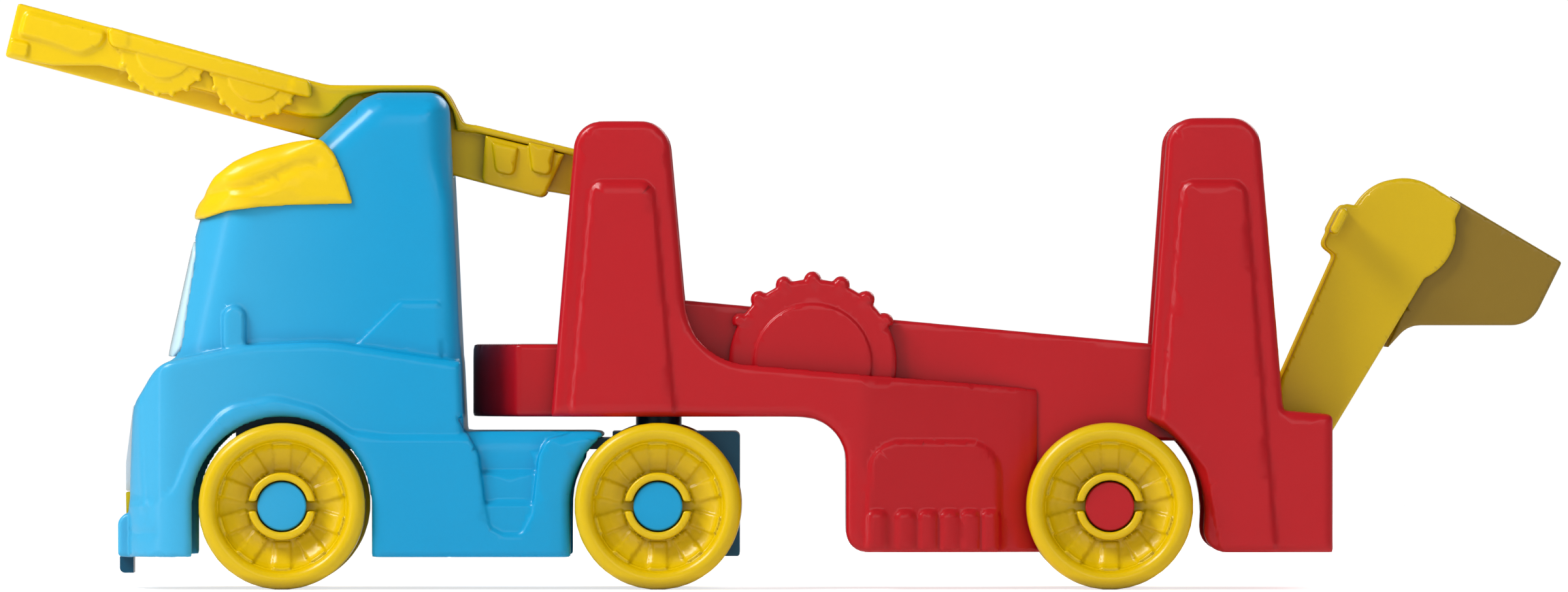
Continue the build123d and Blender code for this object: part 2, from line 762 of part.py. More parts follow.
with BuildPart() as trailer_screws:
    for side in (1, -1):
        for x, z in front_side_screws + rear_side_screws:
            barrel(x, z, screw_radius, side * (bed_half - wall), side * (bed_half + 7))
            barrel(x, z, screw_head, side * (bed_half - wall - 2), side * (bed_half - wall))

# Knobbed half discs that stand in the pockets between outer wall and bed, fixed to the bed
disc_x = coupling_x + 59.25
disc_z = deck + 26
disc_radius = 32.2
disc_thickness = 5.0
knob_count = 18
knob_radius = 3.5
raised_radius = 23.0
disc_outer_y = bed_half + disc_thickness
with BuildPart() as disc_left:
    barrel(disc_x, disc_z, disc_radius, -bed_half, -disc_outer_y)
    barrel(disc_x, disc_z, raised_radius, -disc_outer_y, -disc_outer_y - 1)
    with BuildSketch(Plane.XZ.offset(bed_half)) as knobs:
        with Locations((disc_x, disc_z)):
            with PolarLocations(disc_radius + 1.3, knob_count, start_angle=90):
                Circle(knob_radius)
    extrude(knobs.sketch, amount=disc_thickness)
    disc_foot = [
        (disc_x - 2 * disc_radius, 0, 0),
        (disc_x - 2 * disc_radius, underside + wall + 1, 0),
        (disc_x + 2 * disc_radius, underside + wall + 1, 0),
        (disc_x + 2 * disc_radius, 0, 0),
    ]
    slab(disc_foot, 0, -half_width, mode=Mode.SUBTRACT)

disc_right = mirrored(disc_left)

# Loader: two arms on a rod in the compartment, with a scoop and a slide between them
with BuildPart() as loader_rod:
    barrel(rod_x, rod_z, rod_radius, bed_half, -bed_half)

crest = (rod_x + 38.25, rod_z + 75.75)
crest_radius = 20.0
tab_outline = [
    (rod_x + 14.75, rod_z + 86.2, 3),
    (rod_x + 7, rod_z + 70, 3),
    (rod_x + 13.5, rod_z + 65, 1),
    (rod_x + 30, rod_z + 75, 0),
    (rod_x + 24, rod_z + 84.5, 1),
]
lug_outline = [
    (rod_x + 13, rod_z + 83.5, 1),
    (rod_x + 9.4, rod_z + 75, 1),
    (rod_x + 13, rod_z + 75, 1),
    (rod_x + 16.6, rod_z + 83.5, 1),
]
lug_half = side_half - 4
with BuildPart() as loader_arm_left:
    shaft = [
        (rod_x - 12, rod_z + 1.75, 1),
        (rod_x - 9, rod_z + 18.75, 4),
        (crest[0] - crest_radius * 0.93, crest[1] + crest_radius * 0.37, 0),
        (crest[0] + crest_radius * 0.55, crest[1] + crest_radius * 0.84, 0),
        (rod_x + 60.5, rod_z + 85.5, 1.5),
        (rod_x + 50, rod_z + 63.75, 0),
        (rod_x + 6, rod_z - 9.25, 1),
    ]
    slab(shaft, arm_thickness - loader_half, -loader_half)
    barrel(*crest, crest_radius, arm_thickness - loader_half, -loader_half)
    slab(tab_outline, arm_thickness - loader_half, -loader_half)
    slab(lug_outline, arm_thickness - loader_half, -lug_half)
    barrel(rod_x, rod_z, rod_radius + running_gap, 0, -loader_half - 1, mode=Mode.SUBTRACT)

loader_arm_right = mirrored(loader_arm_left)

scoop_half = loader_half - arm_thickness
scoop_outline = [
    (rod_x + 56, rod_z + 89, 0),
    (rod_x + 99, rod_z + 63.5, 1),
    (rod_x + 87, rod_z + 39.25, 12),
    (rod_x + 40, rod_z + 39.25, 10),
    (rod_x + 31.5, rod_z + 30, 0),
]
scoop_inner = [
    (rod_x + 54, rod_z + 95, 0),
    (rod_x + 110, rod_z + 62, 0),
    (rod_x + 96, rod_z + 60.4, 0),
    (rod_x + 85.5, rod_z + 39.25 + wall, 11),
    (rod_x + 38, rod_z + 39.25 + wall, 9),
    (rod_x + 28, rod_z + 29, 0),
]
slide_outline = [
    (rod_x - 6.5, rod_z + 18.75, 0),
    (rod_x + 22, rod_z + 80, 0),
    (rod_x + 24.5, rod_z + 79, 0),
    (rod_x - 4, rod_z + 17.5, 0),
]
with BuildPart() as loader_scoop:
    slab(scoop_outline, scoop_half, -scoop_half)
    slab(scoop_inner, scoop_half - wall, wall - scoop_half, mode=Mode.SUBTRACT)

with BuildPart() as loader_slide:
    slab(slide_outline, scoop_half, -scoop_half)

# Chute: a channel with a rim that steps over the tower's ears, and moulded pieces along its sides
rim_top = [
    (front_x - 102, deck + 164.25, 1),
    (front_x + 17, deck + tower_height + 3, 12),
    (cab_back - 8, deck + tower_height + 3, 10),
    (cab_back - 0.6, deck + 118, 3),
    (cab_back + 4.8, deck + 117.25, 2),
    (coupling_x - 22, deck + 105.75, 0),
]
rim_under = [
    (coupling_x - 22, deck + 103.2, 0),
    (cab_back + 4.5, deck + 114.6, 1),
    (cab_back - 3.2, deck + 115.4, 0.5),
    (cab_back - 4.6, deck + 123, 6),
    (cab_back - 9, deck + tower_height + 0.5, 4),
    (front_x + 17, deck + tower_height + 0.5, 10),
    (front_x - 102.5, deck + 161.7, 0),
]
channel_outline = rim_top + [
    (coupling_x - 22, deck + 88.2, 0),
    (coupling_x - 40, deck + 91.6, 2),
    (*chute_tail, 6),
    (*chute_foot, 1),
]
channel_inner = [
    (front_x - 99.8, deck + 200, 0),
    (coupling_x, deck + 200, 0),
    (coupling_x, deck + 86.4, 0),
    (coupling_x - 40, deck + 93.7, 2),
    (front_x + 78.3, deck + 96.9, 6),
    (front_x - 104.5, deck + 145.2, 1),
]
with BuildPart() as chute_trough:
    slab(channel_outline, chute_half, -chute_half)
    slab(rim_top + rim_under, chute_rim_half, -chute_rim_half)
    slab(channel_inner, chute_half - chute_wall, chute_wall - chute_half, mode=Mode.SUBTRACT)

front_block = [
    (front_x - 102, deck + 164.25, 1),
    (*chute_foot, 1),
    (front_x - 88.5, deck + 140.25, 4),
    (front_x - 70.5, deck + 140.25, 4),
    (front_x - 60.5, deck + 137.8, 0.5),
    (front_x - 61.8, deck + 153.7, 0),
]
rail_outline = [
    (front_x - 68, deck + 155.4, 1.5),
    (front_x - 66, deck + 147.7, 1.5),
    (front_x + 11.5, deck + 127.4, 1.5),
    (front_x + 9.8, deck + 134.4, 1.5),
]
half_disc_centres = [(front_x - 45.6, deck + 146.25), (front_x - 10.5, deck + 137.25)]
half_disc_radius = 16.9
half_disc_raised = 11.0
half_disc_knobs = 18
half_knob_radius = 1.3
above_rail = [
    (front_x - 68, deck + 152, 0),
    (front_x + 12, deck + 131, 0),
    (front_x + 12, deck + 190, 0),
    (front_x - 68, deck + 190, 0),
]
with BuildPart() as chute_side_left:
    for x, z in half_disc_centres:
        barrel(x, z, half_disc_radius, -chute_rim_half, 1 - chute_side_half)
        barrel(x, z, half_disc_raised, -chute_rim_half, 0.2 - chute_side_half)
        with BuildSketch(Plane.XZ.offset(chute_rim_half)) as half_knobs:
            with Locations((x, z)):
                with PolarLocations(half_disc_radius, half_disc_knobs):
                    Circle(half_knob_radius)
        extrude(half_knobs.sketch, amount=chute_side_half - chute_rim_half - 1)
    slab(above_rail, 1 - chute_rim_half, -chute_side_half - 1, mode=Mode.SUBTRACT)
    slab(front_block, -chute_rim_half, 0.6 - chute_side_half)
    slab(rail_outline, -chute_rim_half, -chute_side_half)

clip_outline = [
    (coupling_x - 66.5, deck + 113.6, 0),
    (coupling_x - 68, deck + 95.25, 3),
    (coupling_x - 44, deck + 89.25, 3),
    (coupling_x - 36, deck + 106.2, 0),
]
clip_pads = [coupling_x - 64, coupling_x - 50]
with BuildPart() as chute_clip_left:
    slab(clip_outline, -chute_half, -chute_rim_half)
    for pad_x in clip_pads:
        pad = [
            (pad_x, deck + 110, 0),
            (pad_x + 1.5, deck + 99.5, 2),
            (pad_x + 8.5, deck + 97.8, 2),
            (pad_x + 10, deck + 107.5, 0),
        ]
        slab(pad, -chute_rim_half, -chute_rim_half - 1.5)

chute_side_right = mirrored(chute_side_left)
chute_clip_right = mirrored(chute_clip_left)

pieces = {
    "cab_shell": cab_shell,
    "windscreen": windscreen,
    "radiator_grille": radiator_grille,
    "headlamp_left": headlamp_left,
    "headlamp_right": headlamp_right,
    "visor": visor,
    "tractor_chassis": tractor_chassis,
    "chassis_screws": chassis_screws,
    "kingpin": kingpin,
    "kingpin_cap": kingpin_cap,
    "trailer_nose": trailer_nose,
    "trailer_trough": trailer_trough,
    "trailer_tail": trailer_tail,
    "front_side_left": front_side_left,
    "front_side_right": front_side_right,
    "rear_side_left": rear_side_left,
    "rear_side_right": rear_side_right,
    "trailer_screws": trailer_screws,
    "disc_left": disc_left,
    "disc_right": disc_right,
    "loader_rod": loader_rod,
    "loader_arm_left": loader_arm_left,
    "loader_arm_right": loader_arm_right,
    "loader_scoop": loader_scoop,
    "loader_slide": loader_slide,
    "chute_trough": chute_trough,
    "chute_side_left": chute_side_left,
    "chute_side_right": chute_side_right,
    "chute_clip_left": chute_clip_left,
    "chute_clip_right": chute_clip_right,
}
for axle_name, axle_x in (("front", front_x), ("drive", coupling_x), ("trailer", trailer_x)):
    for side_name, side in (("left", -1), ("right", 1)):
        pieces[f"wheel_{axle_name}_{side_name}"] = make_wheel(axle_x, side)
        pieces[f"axle_pin_{axle_name}_{side_name}"] = make_axle_pin(axle_x, side)

for name, piece in pieces.items():
    piece.part.label = name
    export_step(piece.part, f"parts/{name}.step")
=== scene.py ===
import json
import math

import bpy
import numpy as np
import openvdb
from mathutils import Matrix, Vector


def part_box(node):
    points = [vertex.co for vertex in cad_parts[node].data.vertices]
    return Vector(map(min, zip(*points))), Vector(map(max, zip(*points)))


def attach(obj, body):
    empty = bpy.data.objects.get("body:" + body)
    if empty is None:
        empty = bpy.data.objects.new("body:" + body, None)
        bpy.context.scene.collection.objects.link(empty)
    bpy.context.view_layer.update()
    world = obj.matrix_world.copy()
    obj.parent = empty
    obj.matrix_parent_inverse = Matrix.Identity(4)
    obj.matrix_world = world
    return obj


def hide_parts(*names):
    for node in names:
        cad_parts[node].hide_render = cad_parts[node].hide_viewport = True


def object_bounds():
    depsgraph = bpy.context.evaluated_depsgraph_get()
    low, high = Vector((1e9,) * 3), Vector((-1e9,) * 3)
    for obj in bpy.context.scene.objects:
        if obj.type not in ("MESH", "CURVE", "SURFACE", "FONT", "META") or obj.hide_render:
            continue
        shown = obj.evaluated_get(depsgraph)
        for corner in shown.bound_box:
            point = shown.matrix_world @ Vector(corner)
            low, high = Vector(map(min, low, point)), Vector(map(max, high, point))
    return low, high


bl_info = {
    "name": "Toy carrier truck looks",
    "version": (1, 0, 0),
    "blender": (4, 5, 0),
    "location": "View3D > Sidebar > Toy truck",
    "description": "Builds the moulded plastic pieces of a toy carrier truck around its packed model",
    "category": "Object",
}

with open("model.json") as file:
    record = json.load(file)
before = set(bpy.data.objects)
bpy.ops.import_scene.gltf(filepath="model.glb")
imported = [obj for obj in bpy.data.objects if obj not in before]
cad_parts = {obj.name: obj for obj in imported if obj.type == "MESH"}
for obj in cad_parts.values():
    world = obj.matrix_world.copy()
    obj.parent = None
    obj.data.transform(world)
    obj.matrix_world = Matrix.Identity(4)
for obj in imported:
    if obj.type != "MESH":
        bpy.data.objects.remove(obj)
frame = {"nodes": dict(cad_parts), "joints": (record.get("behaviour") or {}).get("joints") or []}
cad_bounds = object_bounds()

# Shapes are worked out in millimetres and placed in metres. X runs to the tail, left is towards -Y.
MM = 1000.0


def pivot(joint_name):
    """Place of a joint in millimetres."""
    return next([MM * v for v in j["pos_m"]] for j in frame["joints"] if j["name"] == joint_name)


def edge_of(node, corner, axis):
    """One coordinate of a node's lowest (0) or highest (1) corner, in millimetres."""
    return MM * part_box(node)[corner][axis]


front_x, _, wheel_radius = pivot("front_wheel_left_spin")
coupling_x = pivot("drive_wheel_left_spin")[0]
trailer_x = pivot("trailer_wheel_left_spin")[0]
rod_x, _, rod_z = pivot("loader_tilt")
deck = edge_of("cab_shell", 1, 2) - 129.75
underside = 2 * wheel_radius + 2.25
floor_z = edge_of("trailer_trough", 0, 2)
skirt_z = edge_of("cab_shell", 0, 2)
bonnet_x = edge_of("cab_shell", 0, 0) + 3.8
cab_back = coupling_x - 74.3
sill = edge_of("trailer_trough", 0, 0)
nose_reach = coupling_x - edge_of("trailer_nose", 0, 0)
tail_x = edge_of("rear_side_left", 1, 0)
half_width = edge_of("wheel_front_right", 1, 1)
wheel_inner = edge_of("wheel_front_right", 0, 1)
bed_half = edge_of("trailer_nose", 1, 1)
chute_half = 24.0
chute_rim_half = edge_of("chute_trough", 1, 1)
scoop_half = edge_of("loader_scoop", 1, 1)
arm_thickness = 3.0
loader_half = scoop_half + arm_thickness
side_half = 62.0
skirt_half = 66.0
cab_half = 60.0
visor_half = edge_of("visor", 1, 1)
wall = 2.5
flatness = 0.06  # how readily nearly flat faces are merged when a field is meshed


# ---- Distance fields: negative inside, in millimetres


def about(x, z, corners):
    """Corners given from a place, their radius kept."""
    return [(x + a, z + b, *radius) for a, b, *radius in corners]


def rounded(corners):
    """Closed outline whose (a, b, radius) corners are turned into arcs."""
    points = []
    for before, here, after in zip(corners[-1:] + corners[:-1], corners, corners[1:] + corners[:1]):
        corner, radius = np.array(here[:2], float), here[2]
        back = np.array(before[:2]) - corner
        ahead = np.array(after[:2]) - corner
        back /= np.linalg.norm(back)
        ahead /= np.linalg.norm(ahead)
        half_angle = math.acos(max(-1.0, min(1.0, float(back @ ahead)))) / 2
        if radius < 0.05 or half_angle > 1.55:
            points.append(corner)
            continue
        middle = (back + ahead) / np.linalg.norm(back + ahead)
        centre = corner + middle * radius / math.sin(half_angle)
        first = corner + back * radius / math.tan(half_angle) - centre
        last = corner + ahead * radius / math.tan(half_angle) - centre
        start = math.atan2(first[1], first[0])
        sweep = (math.atan2(last[1], last[0]) - start + math.pi) % (2 * math.pi) - math.pi
        count = max(2, int(abs(sweep) / 0.15) + 1)
        for turn in start + sweep * np.linspace(0, 1, count + 1):
            points.append(centre + radius * np.array((math.cos(turn), math.sin(turn))))
    return points


def outline(corners, a, b):
    """Distance to a closed outline with rounded corners."""
    points = rounded(corners)
    shape = np.broadcast(a, b).shape
    nearest = np.full(shape, 1e9, np.float32)
    inside = np.zeros(shape, bool)
    for (a0, b0), (a1, b1) in zip(points, points[1:] + points[:1]):
        run_a, run_b = a1 - a0, b1 - b0
        length = run_a * run_a + run_b * run_b
        if length < 1e-9:
            continue
        share = np.clip(((a - a0) * run_a + (b - b0) * run_b) / length, 0, 1)
        nearest = np.minimum(nearest, (a - a0 - run_a * share) ** 2 + (b - b0 - run_b * share) ** 2)
        if b0 != b1:
            crossed = (b0 <= b) != (b1 <= b)
            inside ^= crossed & (a < a0 + (b - b0) * run_a / run_b)
    return np.where(inside, -1, 1) * np.sqrt(nearest)


def line(points, a, b):
    """Distance to an open run of straight lines."""
    nearest = np.full(np.broadcast(a, b).shape, 1e9, np.float32)
    for (a0, b0), (a1, b1) in zip(points, points[1:]):
        run_a, run_b = a1 - a0, b1 - b0
        share = np.clip(((a - a0) * run_a + (b - b0) * run_b) / (run_a ** 2 + run_b ** 2), 0, 1)
        nearest = np.minimum(nearest, np.hypot(a - a0 - run_a * share, b - b0 - run_b * share))
    return nearest


def unite(first, second, soft=0.0):
    """Either solid, with a fillet of about that size where they meet."""
    if not soft:
        return np.minimum(first, second)
    share = np.clip(0.5 + 0.5 * (second - first) / soft, 0, 1)
    return second + (first - second) * share - soft * share * (1 - share)


def limit(first, second, soft=0.0):
    """Only what lies in both solids."""
    return -unite(-first, -second, soft)


def carve(first, second, soft=0.0):
    """The first solid without the second one."""
    return -unite(-first, second, soft)


def corner(first, second, radius):
    """Both half spaces, their common edge turned to a radius."""
    u, v = first + radius, second + radius
    return np.minimum(np.maximum(u, v), 0) + np.hypot(np.maximum(u, 0), np.maximum(v, 0)) - radius


def slab(side, y, half_or_near, far=None, edge=0.8):
    """Side outline between two places across the truck, or between minus and plus a half width."""
    near = -half_or_near if far is None else half_or_near
    far = half_or_near if far is None else far
    across = np.abs(y - (near + far) / 2) - np.abs(far - near) / 2
    return corner(side, across, edge)


def rise(distance, width):
    """Smooth step from 0 outside to 1 inside an outline."""
    share = np.clip(0.5 - distance / width, 0, 1)
    return share * share * (3 - 2 * share)


def bead(distance, width):
    """Smooth ridge about a line."""
    return np.exp(-(distance / width) ** 2)


# ---- Meshes


def grids(low, high, step):
    """Sample places along the three directions, with one of them on the centre plane."""
    axes = [np.arange(math.floor(a / step), math.ceil(b / step) + 1) * step for a, b in zip(low, high)]
    x, y, z = (axis.astype(np.float32) for axis in axes)
    return x[:, None, None], y[None, :, None], z[None, None, :]


def sample(values, places):
    """Values between the grid's points."""
    base = np.clip(np.floor(places).astype(int), 0, np.array(values.shape) - 2)
    part = (places - base).astype(np.float32)
    total = 0
    for i in (0, 1):
        for j in (0, 1):
            for k in (0, 1):
                weight = np.abs(np.array((1 - i, 1 - j, 1 - k), np.float32) - part).prod(axis=1)
                total = total + weight * values[base[:, 0] + i, base[:, 1] + j, base[:, 2] + k]
    return total


def cast(field, low, high, step, centred=False):
    """Surface of a field as points, normals and faces. A centred one is made from its left half."""
    if centred:
        high = (high[0], 0, high[2])
    x, y, z = grids(low, high, step)
    values = np.ascontiguousarray(np.broadcast_to(field(x, y, z), (x.size, y.size, z.size)), np.float32)
    if centred:
        values = np.concatenate([values, values[:, -2::-1]], axis=1)
    band = 3 * step
    values = np.clip(values, -band, band)
    grid = openvdb.FloatGrid(band)
    grid.copyFromArray(values)
    points, triangles, quads = grid.convertToPolygons(0.0, flatness)
    slopes = [sample(slope, points) for slope in np.gradient(values)]
    normals = np.stack(slopes, 1)
    normals /= np.maximum(np.linalg.norm(normals, axis=1, keepdims=True), 1e-6)
    origin = np.array((x.flat[0], y.flat[0], z.flat[0]))
    return points * step + origin, normals, [f for f in (triangles, quads) if len(f)]


def mirrored(surface):
    """The same surface on the truck's other side."""
    points, normals, faces = surface
    flip = np.array((1, -1, 1))
    return points * flip, normals * flip, [f[:, ::-1] for f in faces]


def outward(points, normals, faces):
    """Faces turned so that they look the way their normals do."""
    corners = points[faces[0][:, :3]]
    facing = np.cross(corners[:, 1] - corners[:, 0], corners[:, 2] - corners[:, 0])
    same = (facing * normals[faces[0][:, 0]]).sum(1)
    return faces if np.median(np.sign(same)) > 0 else [f[:, ::-1] for f in faces]


def mesh_of(name, surface):
    """Blender mesh with the field's own normals."""
    points, normals, faces = surface
    faces = outward(points, normals, faces)
    mesh = bpy.data.meshes.new(name)
    sizes = np.concatenate([np.full(len(f), f.shape[1], np.int32) for f in faces])
    mesh.vertices.add(len(points))
    mesh.vertices.foreach_set("co", (points / MM).astype(np.float32).ravel())
    mesh.loops.add(int(sizes.sum()))
    mesh.loops.foreach_set("vertex_index", np.concatenate([f.ravel() for f in faces]).astype(np.int32))
    mesh.polygons.add(len(sizes))
    mesh.polygons.foreach_set("loop_start", np.concatenate([[0], np.cumsum(sizes)[:-1]]).astype(np.int32))
    mesh.polygons.foreach_set("use_smooth", np.ones(len(sizes), bool))
    mesh.update(calc_edges=True)
    mesh.normals_split_custom_set_from_vertices(normals)
    return mesh


def place(name, surface, material, body, slot, *nodes):
    """Puts a piece in the scene, riding on its body and standing for its CAD nodes."""
    mesh = mesh_of(name, surface)
    mesh.materials.append(material)
    piece = bpy.data.objects.new(name, mesh)
    bpy.context.scene.collection.objects.link(piece)
    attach(piece, body)
    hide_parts(*nodes)


def pair(name, surface, material, body, slot, node):
    """The left piece and its mirror image on the right."""
    for side, own in (("left", surface), ("right", mirrored(surface))):
        place(f"{name}_{side}", own, material, body, slot, f"{node}_{side}")


def finish_nodes(material, *nodes):
    """Gives CAD nodes that stay in view their material."""
    for node in nodes:
        slots = frame["nodes"][node].data.materials
        slots.clear()
        slots.append(material)


# ---- Shapes of the tractor

cab_low_outline = [
    (bonnet_x, 0, 0), (bonnet_x, deck - 20.75, 10), (bonnet_x + 2, deck + 9.25, 10),
    (front_x - 47.5, deck + 26, 14), (front_x - 14, deck + 33, 60), (front_x + 17, deck + 34.5, 60),
    (cab_back - 1.2, deck + 26.5, 0), (cab_back, deck, 0), (coupling_x, deck, 0), (coupling_x, 0, 0),
]
screen_foot = (front_x - 44, deck + 31.25)
screen_head = (front_x - 35, deck + 72.25)
cab_up_outline = [
    (front_x - 46, deck - 6, 0), (*screen_foot, 0), (*screen_head, 4), (front_x - 30, deck + 88, 12),
    (front_x - 17, deck + 101, 12), (front_x + 8, deck + 106.5, 8), (front_x + 16.5, deck + 114.5, 8),
    (front_x + 31, deck + 127.5, 8), (front_x + 37, deck + 129.75, 3), (cab_back - 6, deck + 129.75, 8),
    (cab_back, deck, 0), (cab_back, deck - 6, 0),
]
fender_outline = about(front_x, 0, [(-90, 32, 0), (-48, 32, 3), (-41, 39, 6), (-35, 54, 10),
    (-22, 69.5, 16), (-3, 73.5, 20), (14, 69, 16), (27, 59.8, 10), (42, 58.3, 10), (190, 58.3, 0),
    (190, -40, 0), (-90, -40, 0)])
lamp_ridge = about(front_x, deck, [(-56, 18), (-54.8, 10), (-54.2, -14), (-53, -29)])
vent_outline = about(front_x, 0, [(24, 88, 0), (29, 94, 0), (45.5, 110.3, 1.5), (60.2, 110.3, 1.2),
    (60.7, 80, 0), (24, 80, 0)])
steps_outline = about(cab_back, 0, [(-2.5, 66, 0), (1.6, 59.5, 4), (5.6, 52, 5), (8.0, 34, 6),
    (10, 24, 4), (15, 21.4, 1), (22, 21.4, 3), (26, 29.3, 6), (28.5, 51, 5), (31.5, 57.5, 5),
    (40, 60, 0), (40, 66, 0)])
bumper_outline = [
    (bonnet_x + 1.5, skirt_z, 0), (bonnet_x - 3.8, skirt_z, 1.5), (bonnet_x - 3.8, skirt_z + 14, 4),
    (bonnet_x - 1.2, skirt_z + 16.5, 1), (bonnet_x + 1.5, skirt_z + 16.5, 0.5),
]
grille_outline = about(bonnet_x, deck, [(-1, -23.05, 0.6), (-1, -12, 20), (1.9, 10.25, 1),
    (3.6, 9.75, 0), (1.2, -12, 10), (1.2, -23.05, 0)])
lamp_outline = about(bonnet_x, deck, [(-0.9, -23.45, 0.6), (-0.6, -37.75, 1), (1.4, -37.75, 0),
    (1.2, -23.45, 0)])
visor_outline = about(front_x, deck, [(-34.75, 80.75, 1.2), (-34, 84.5, 2), (-30.8, 90.3, 1.2),
    (-26.5, 97.4, 8), (-18.5, 103.9, 14), (-8.5, 108, 20), (4, 111.1, 24), (15, 112.3, 5),
    (20.5, 106.2, 10), (24, 98.5, 14), (27.8, 86.6, 1.2), (15, 86.5, 0), (-8.6, 85.6, 10),
    (-21, 84, 10), (-30, 80.9, 4)])
visor_crease = about(front_x, deck, [(-31, 89.6), (-22, 92), (-12, 93.6), (-4, 97), (5, 101.5),
    (13, 102.8)])
visor_lip = about(front_x, deck, [(-20, 90.5), (-8, 90.5), (3, 92.5)])
chute_foot = (front_x - 107, deck + 143.7)
chute_tail = (front_x + 78, deck + 94.75)
chute_slope = (chute_tail[1] - chute_foot[1]) / (chute_tail[0] - chute_foot[0])
slot_half = chute_half + 0.6
handle = [(front_x - 18.3, deck + 34), (front_x - 18.3, deck + 43.5)]
handle_radius = 4.4
bumper_half = 46
notch_half = 15.2
grille_half = 31.1
lamp_sides = (16.9, 37.1)
screen_half = 50


def chute_under(x):
    """Height of the chute's straight underside."""
    return chute_foot[1] + chute_slope * (x - chute_foot[0])


def cab_top(x, y, z, grow=0.0):
    """Cab and tower: rounded along the roof and down the windscreen's corners."""
    lean = (screen_head[0] - screen_foot[0]) / (screen_head[1] - screen_foot[1])
    front = screen_foot[0] + (z - screen_foot[1]) * lean
    wide = np.abs(y) - cab_half - grow
    side = outline(cab_up_outline, x, z) - grow
    edge = 8 + 5 * rise(deck + 96 - z, 24)
    plan = corner((front - grow - x) / 1.02, wide, 24)
    return limit(slab(side, y, cab_half + grow, edge=edge), plan, 2.5)


def cab_skirts(x, y, z):
    """Bonnet, wings and skirts, with the raised band over the wheels."""
    side = outline(cab_low_outline, x, z)
    half = skirt_half - 1.7 + 1.7 * rise(outline(fender_outline, x, z), 2.2)
    plan = corner(bonnet_x - x, np.abs(y) - skirt_half, 26) - 0.7 * bead(line(lamp_ridge, x, z), 1.3)
    plan = plan + 1.1 * rise(deck - 27 - z, 3) * rise(x - front_x + 49, 6) - 0.6
    plan = plan + 0.5 * bead(z - deck + 39.3, 1) * (x < front_x - 48)
    return limit(corner(side, np.abs(y) - half, 3), plan, 2)


def wheel_arches(x, z):
    """Openings over the front and drive wheels, seen from the side."""
    radius = wheel_radius + 1.5
    above = np.maximum(z - wheel_radius, 0)
    return np.minimum(np.hypot(x - front_x, above), np.hypot(x - coupling_x, above)) - radius


def cab_body(x, y, z):
    """The blue body: skirts, cab and tower with the chute's slot, hollow from below."""
    top = cab_top(x, y, z)
    vent = outline(vent_outline, x, z)
    top = top - 0.7 * rise(vent, 0.7) * (np.abs(y) > 40)
    solid = unite(top, cab_skirts(x, y, z), 1.2)
    hollow = solid + wall
    grip = line(handle, x, z) - handle_radius
    solid = unite(solid, slab(grip, np.abs(y), cab_half - 3, cab_half + 2.3, edge=1.8), 1.2)
    steps = outline(steps_outline, x, z)
    inset = 1.2 + 1.5 * rise(33 - z, 1) + 1.6 * rise(44.9 - z, 1) + 1.6 * rise(57 - z, 8)
    solid = carve(solid, slab(steps, np.abs(y), skirt_half - inset, skirt_half + 9, edge=0.8), 1.4)
    backed = corner(np.abs(x - cab_back - 20) - 26, 50 - np.abs(y), 1)
    hollow = limit(hollow, -np.maximum(backed, z - deck + 2), 0)
    solid = carve(solid, wheel_arches(x, z), 5)
    solid = limit(solid, skirt_z - z, 1)
    solid = carve(solid, hollow)
    slot = np.maximum(chute_under(x) - 0.6 - z, (front_x - 20 - x))
    slot = np.maximum(slot, x - cab_back - 12)
    base = np.maximum(np.maximum(slot - wall, np.abs(y) - slot_half - wall), top)
    solid = unite(solid, base)
    solid = carve(solid, corner(slot, np.abs(y) - slot_half, 1), 0.8)
    solid = unite(solid, slab(outline(bumper_outline, x, z), y, bumper_half, edge=1.5), 1)
    notch = np.maximum(np.abs(y) - notch_half, z - skirt_z - 3.25)
    solid = carve(solid, np.maximum(notch, x - bonnet_x - wall - 1))
    solid = carve(solid, slab(outline(grille_outline, x, z), y, grille_half, edge=0.3))
    solid = carve(solid, slab(outline(lamp_outline, x, z), np.abs(y), *lamp_sides, edge=0.3))
    solid = carve(solid, window_pane(x, y, z, 0.5), 0.5)
    boss = np.hypot(x - front_x + 44, np.abs(y) - 24) - 4
    boss = np.maximum(boss, np.abs(z - deck - 14) - 11)
    return unite(solid, boss)


def window_pane(x, y, z, grow=0.0):
    """Windscreen that wraps round the cab's front corners."""
    shell = cab_top(x, y, z)
    sheet = np.abs(shell + 1.0) - 1.3 - grow
    narrowing = 5 * (z - deck - 28) / 44
    edges = corner(np.abs(y) - screen_half + narrowing, np.abs(z - deck - 50) - 22.5, 7) - grow
    return np.maximum(limit(sheet, edges, 0.6), x - front_x + 12)


def visor_body(x, y, z):
    """Sun visor: a cap with a crease along its lip."""
    side = outline(visor_outline, x, z)
    plan = corner(front_x - 34.75 - x, np.abs(y) - visor_half, 27)
    flare = rise(z - deck - 90, 4) * rise(x - front_x + 8, 22)
    edge = 1.8 + 6.5 * rise(x - front_x - 8, 18) * rise(deck + 95 - z, 12)
    solid = limit(corner(side, np.abs(y) - visor_half + 1.6 - 1.6 * flare, edge), plan, 2)
    solid = solid + 0.8 * bead(line(visor_crease, x, z), 1.9) - 0.5 * bead(line(visor_lip, x, z), 1.8)
    solid = limit(solid, side - 0.1, 1)
    return carve(solid, cab_top(x, y, z, 0.3), 0.4)


# ---- Shapes of the wheels

wheel_profile = [
    (5.06, 0, 0.2), (9, 0, 0.3), (9, 8.5, 0.5), (27, 8.5, 2), (28, 0, 0.3), (32, 0, 1.5),
    (32, 20, 3.9), (24.9, 20, 3.4), (24.9, 16.8, 0.2), (24.2, 16.8, 0.3), (24.2, 15.6, 0.4),
    (22.5, 13.9, 2), (19.5, 12.2, 4), (16, 11, 4), (12.7, 10.6, 1), (5.06, 10.6, 0.2),
]
tile_count = 10
ring_radius = 11.4


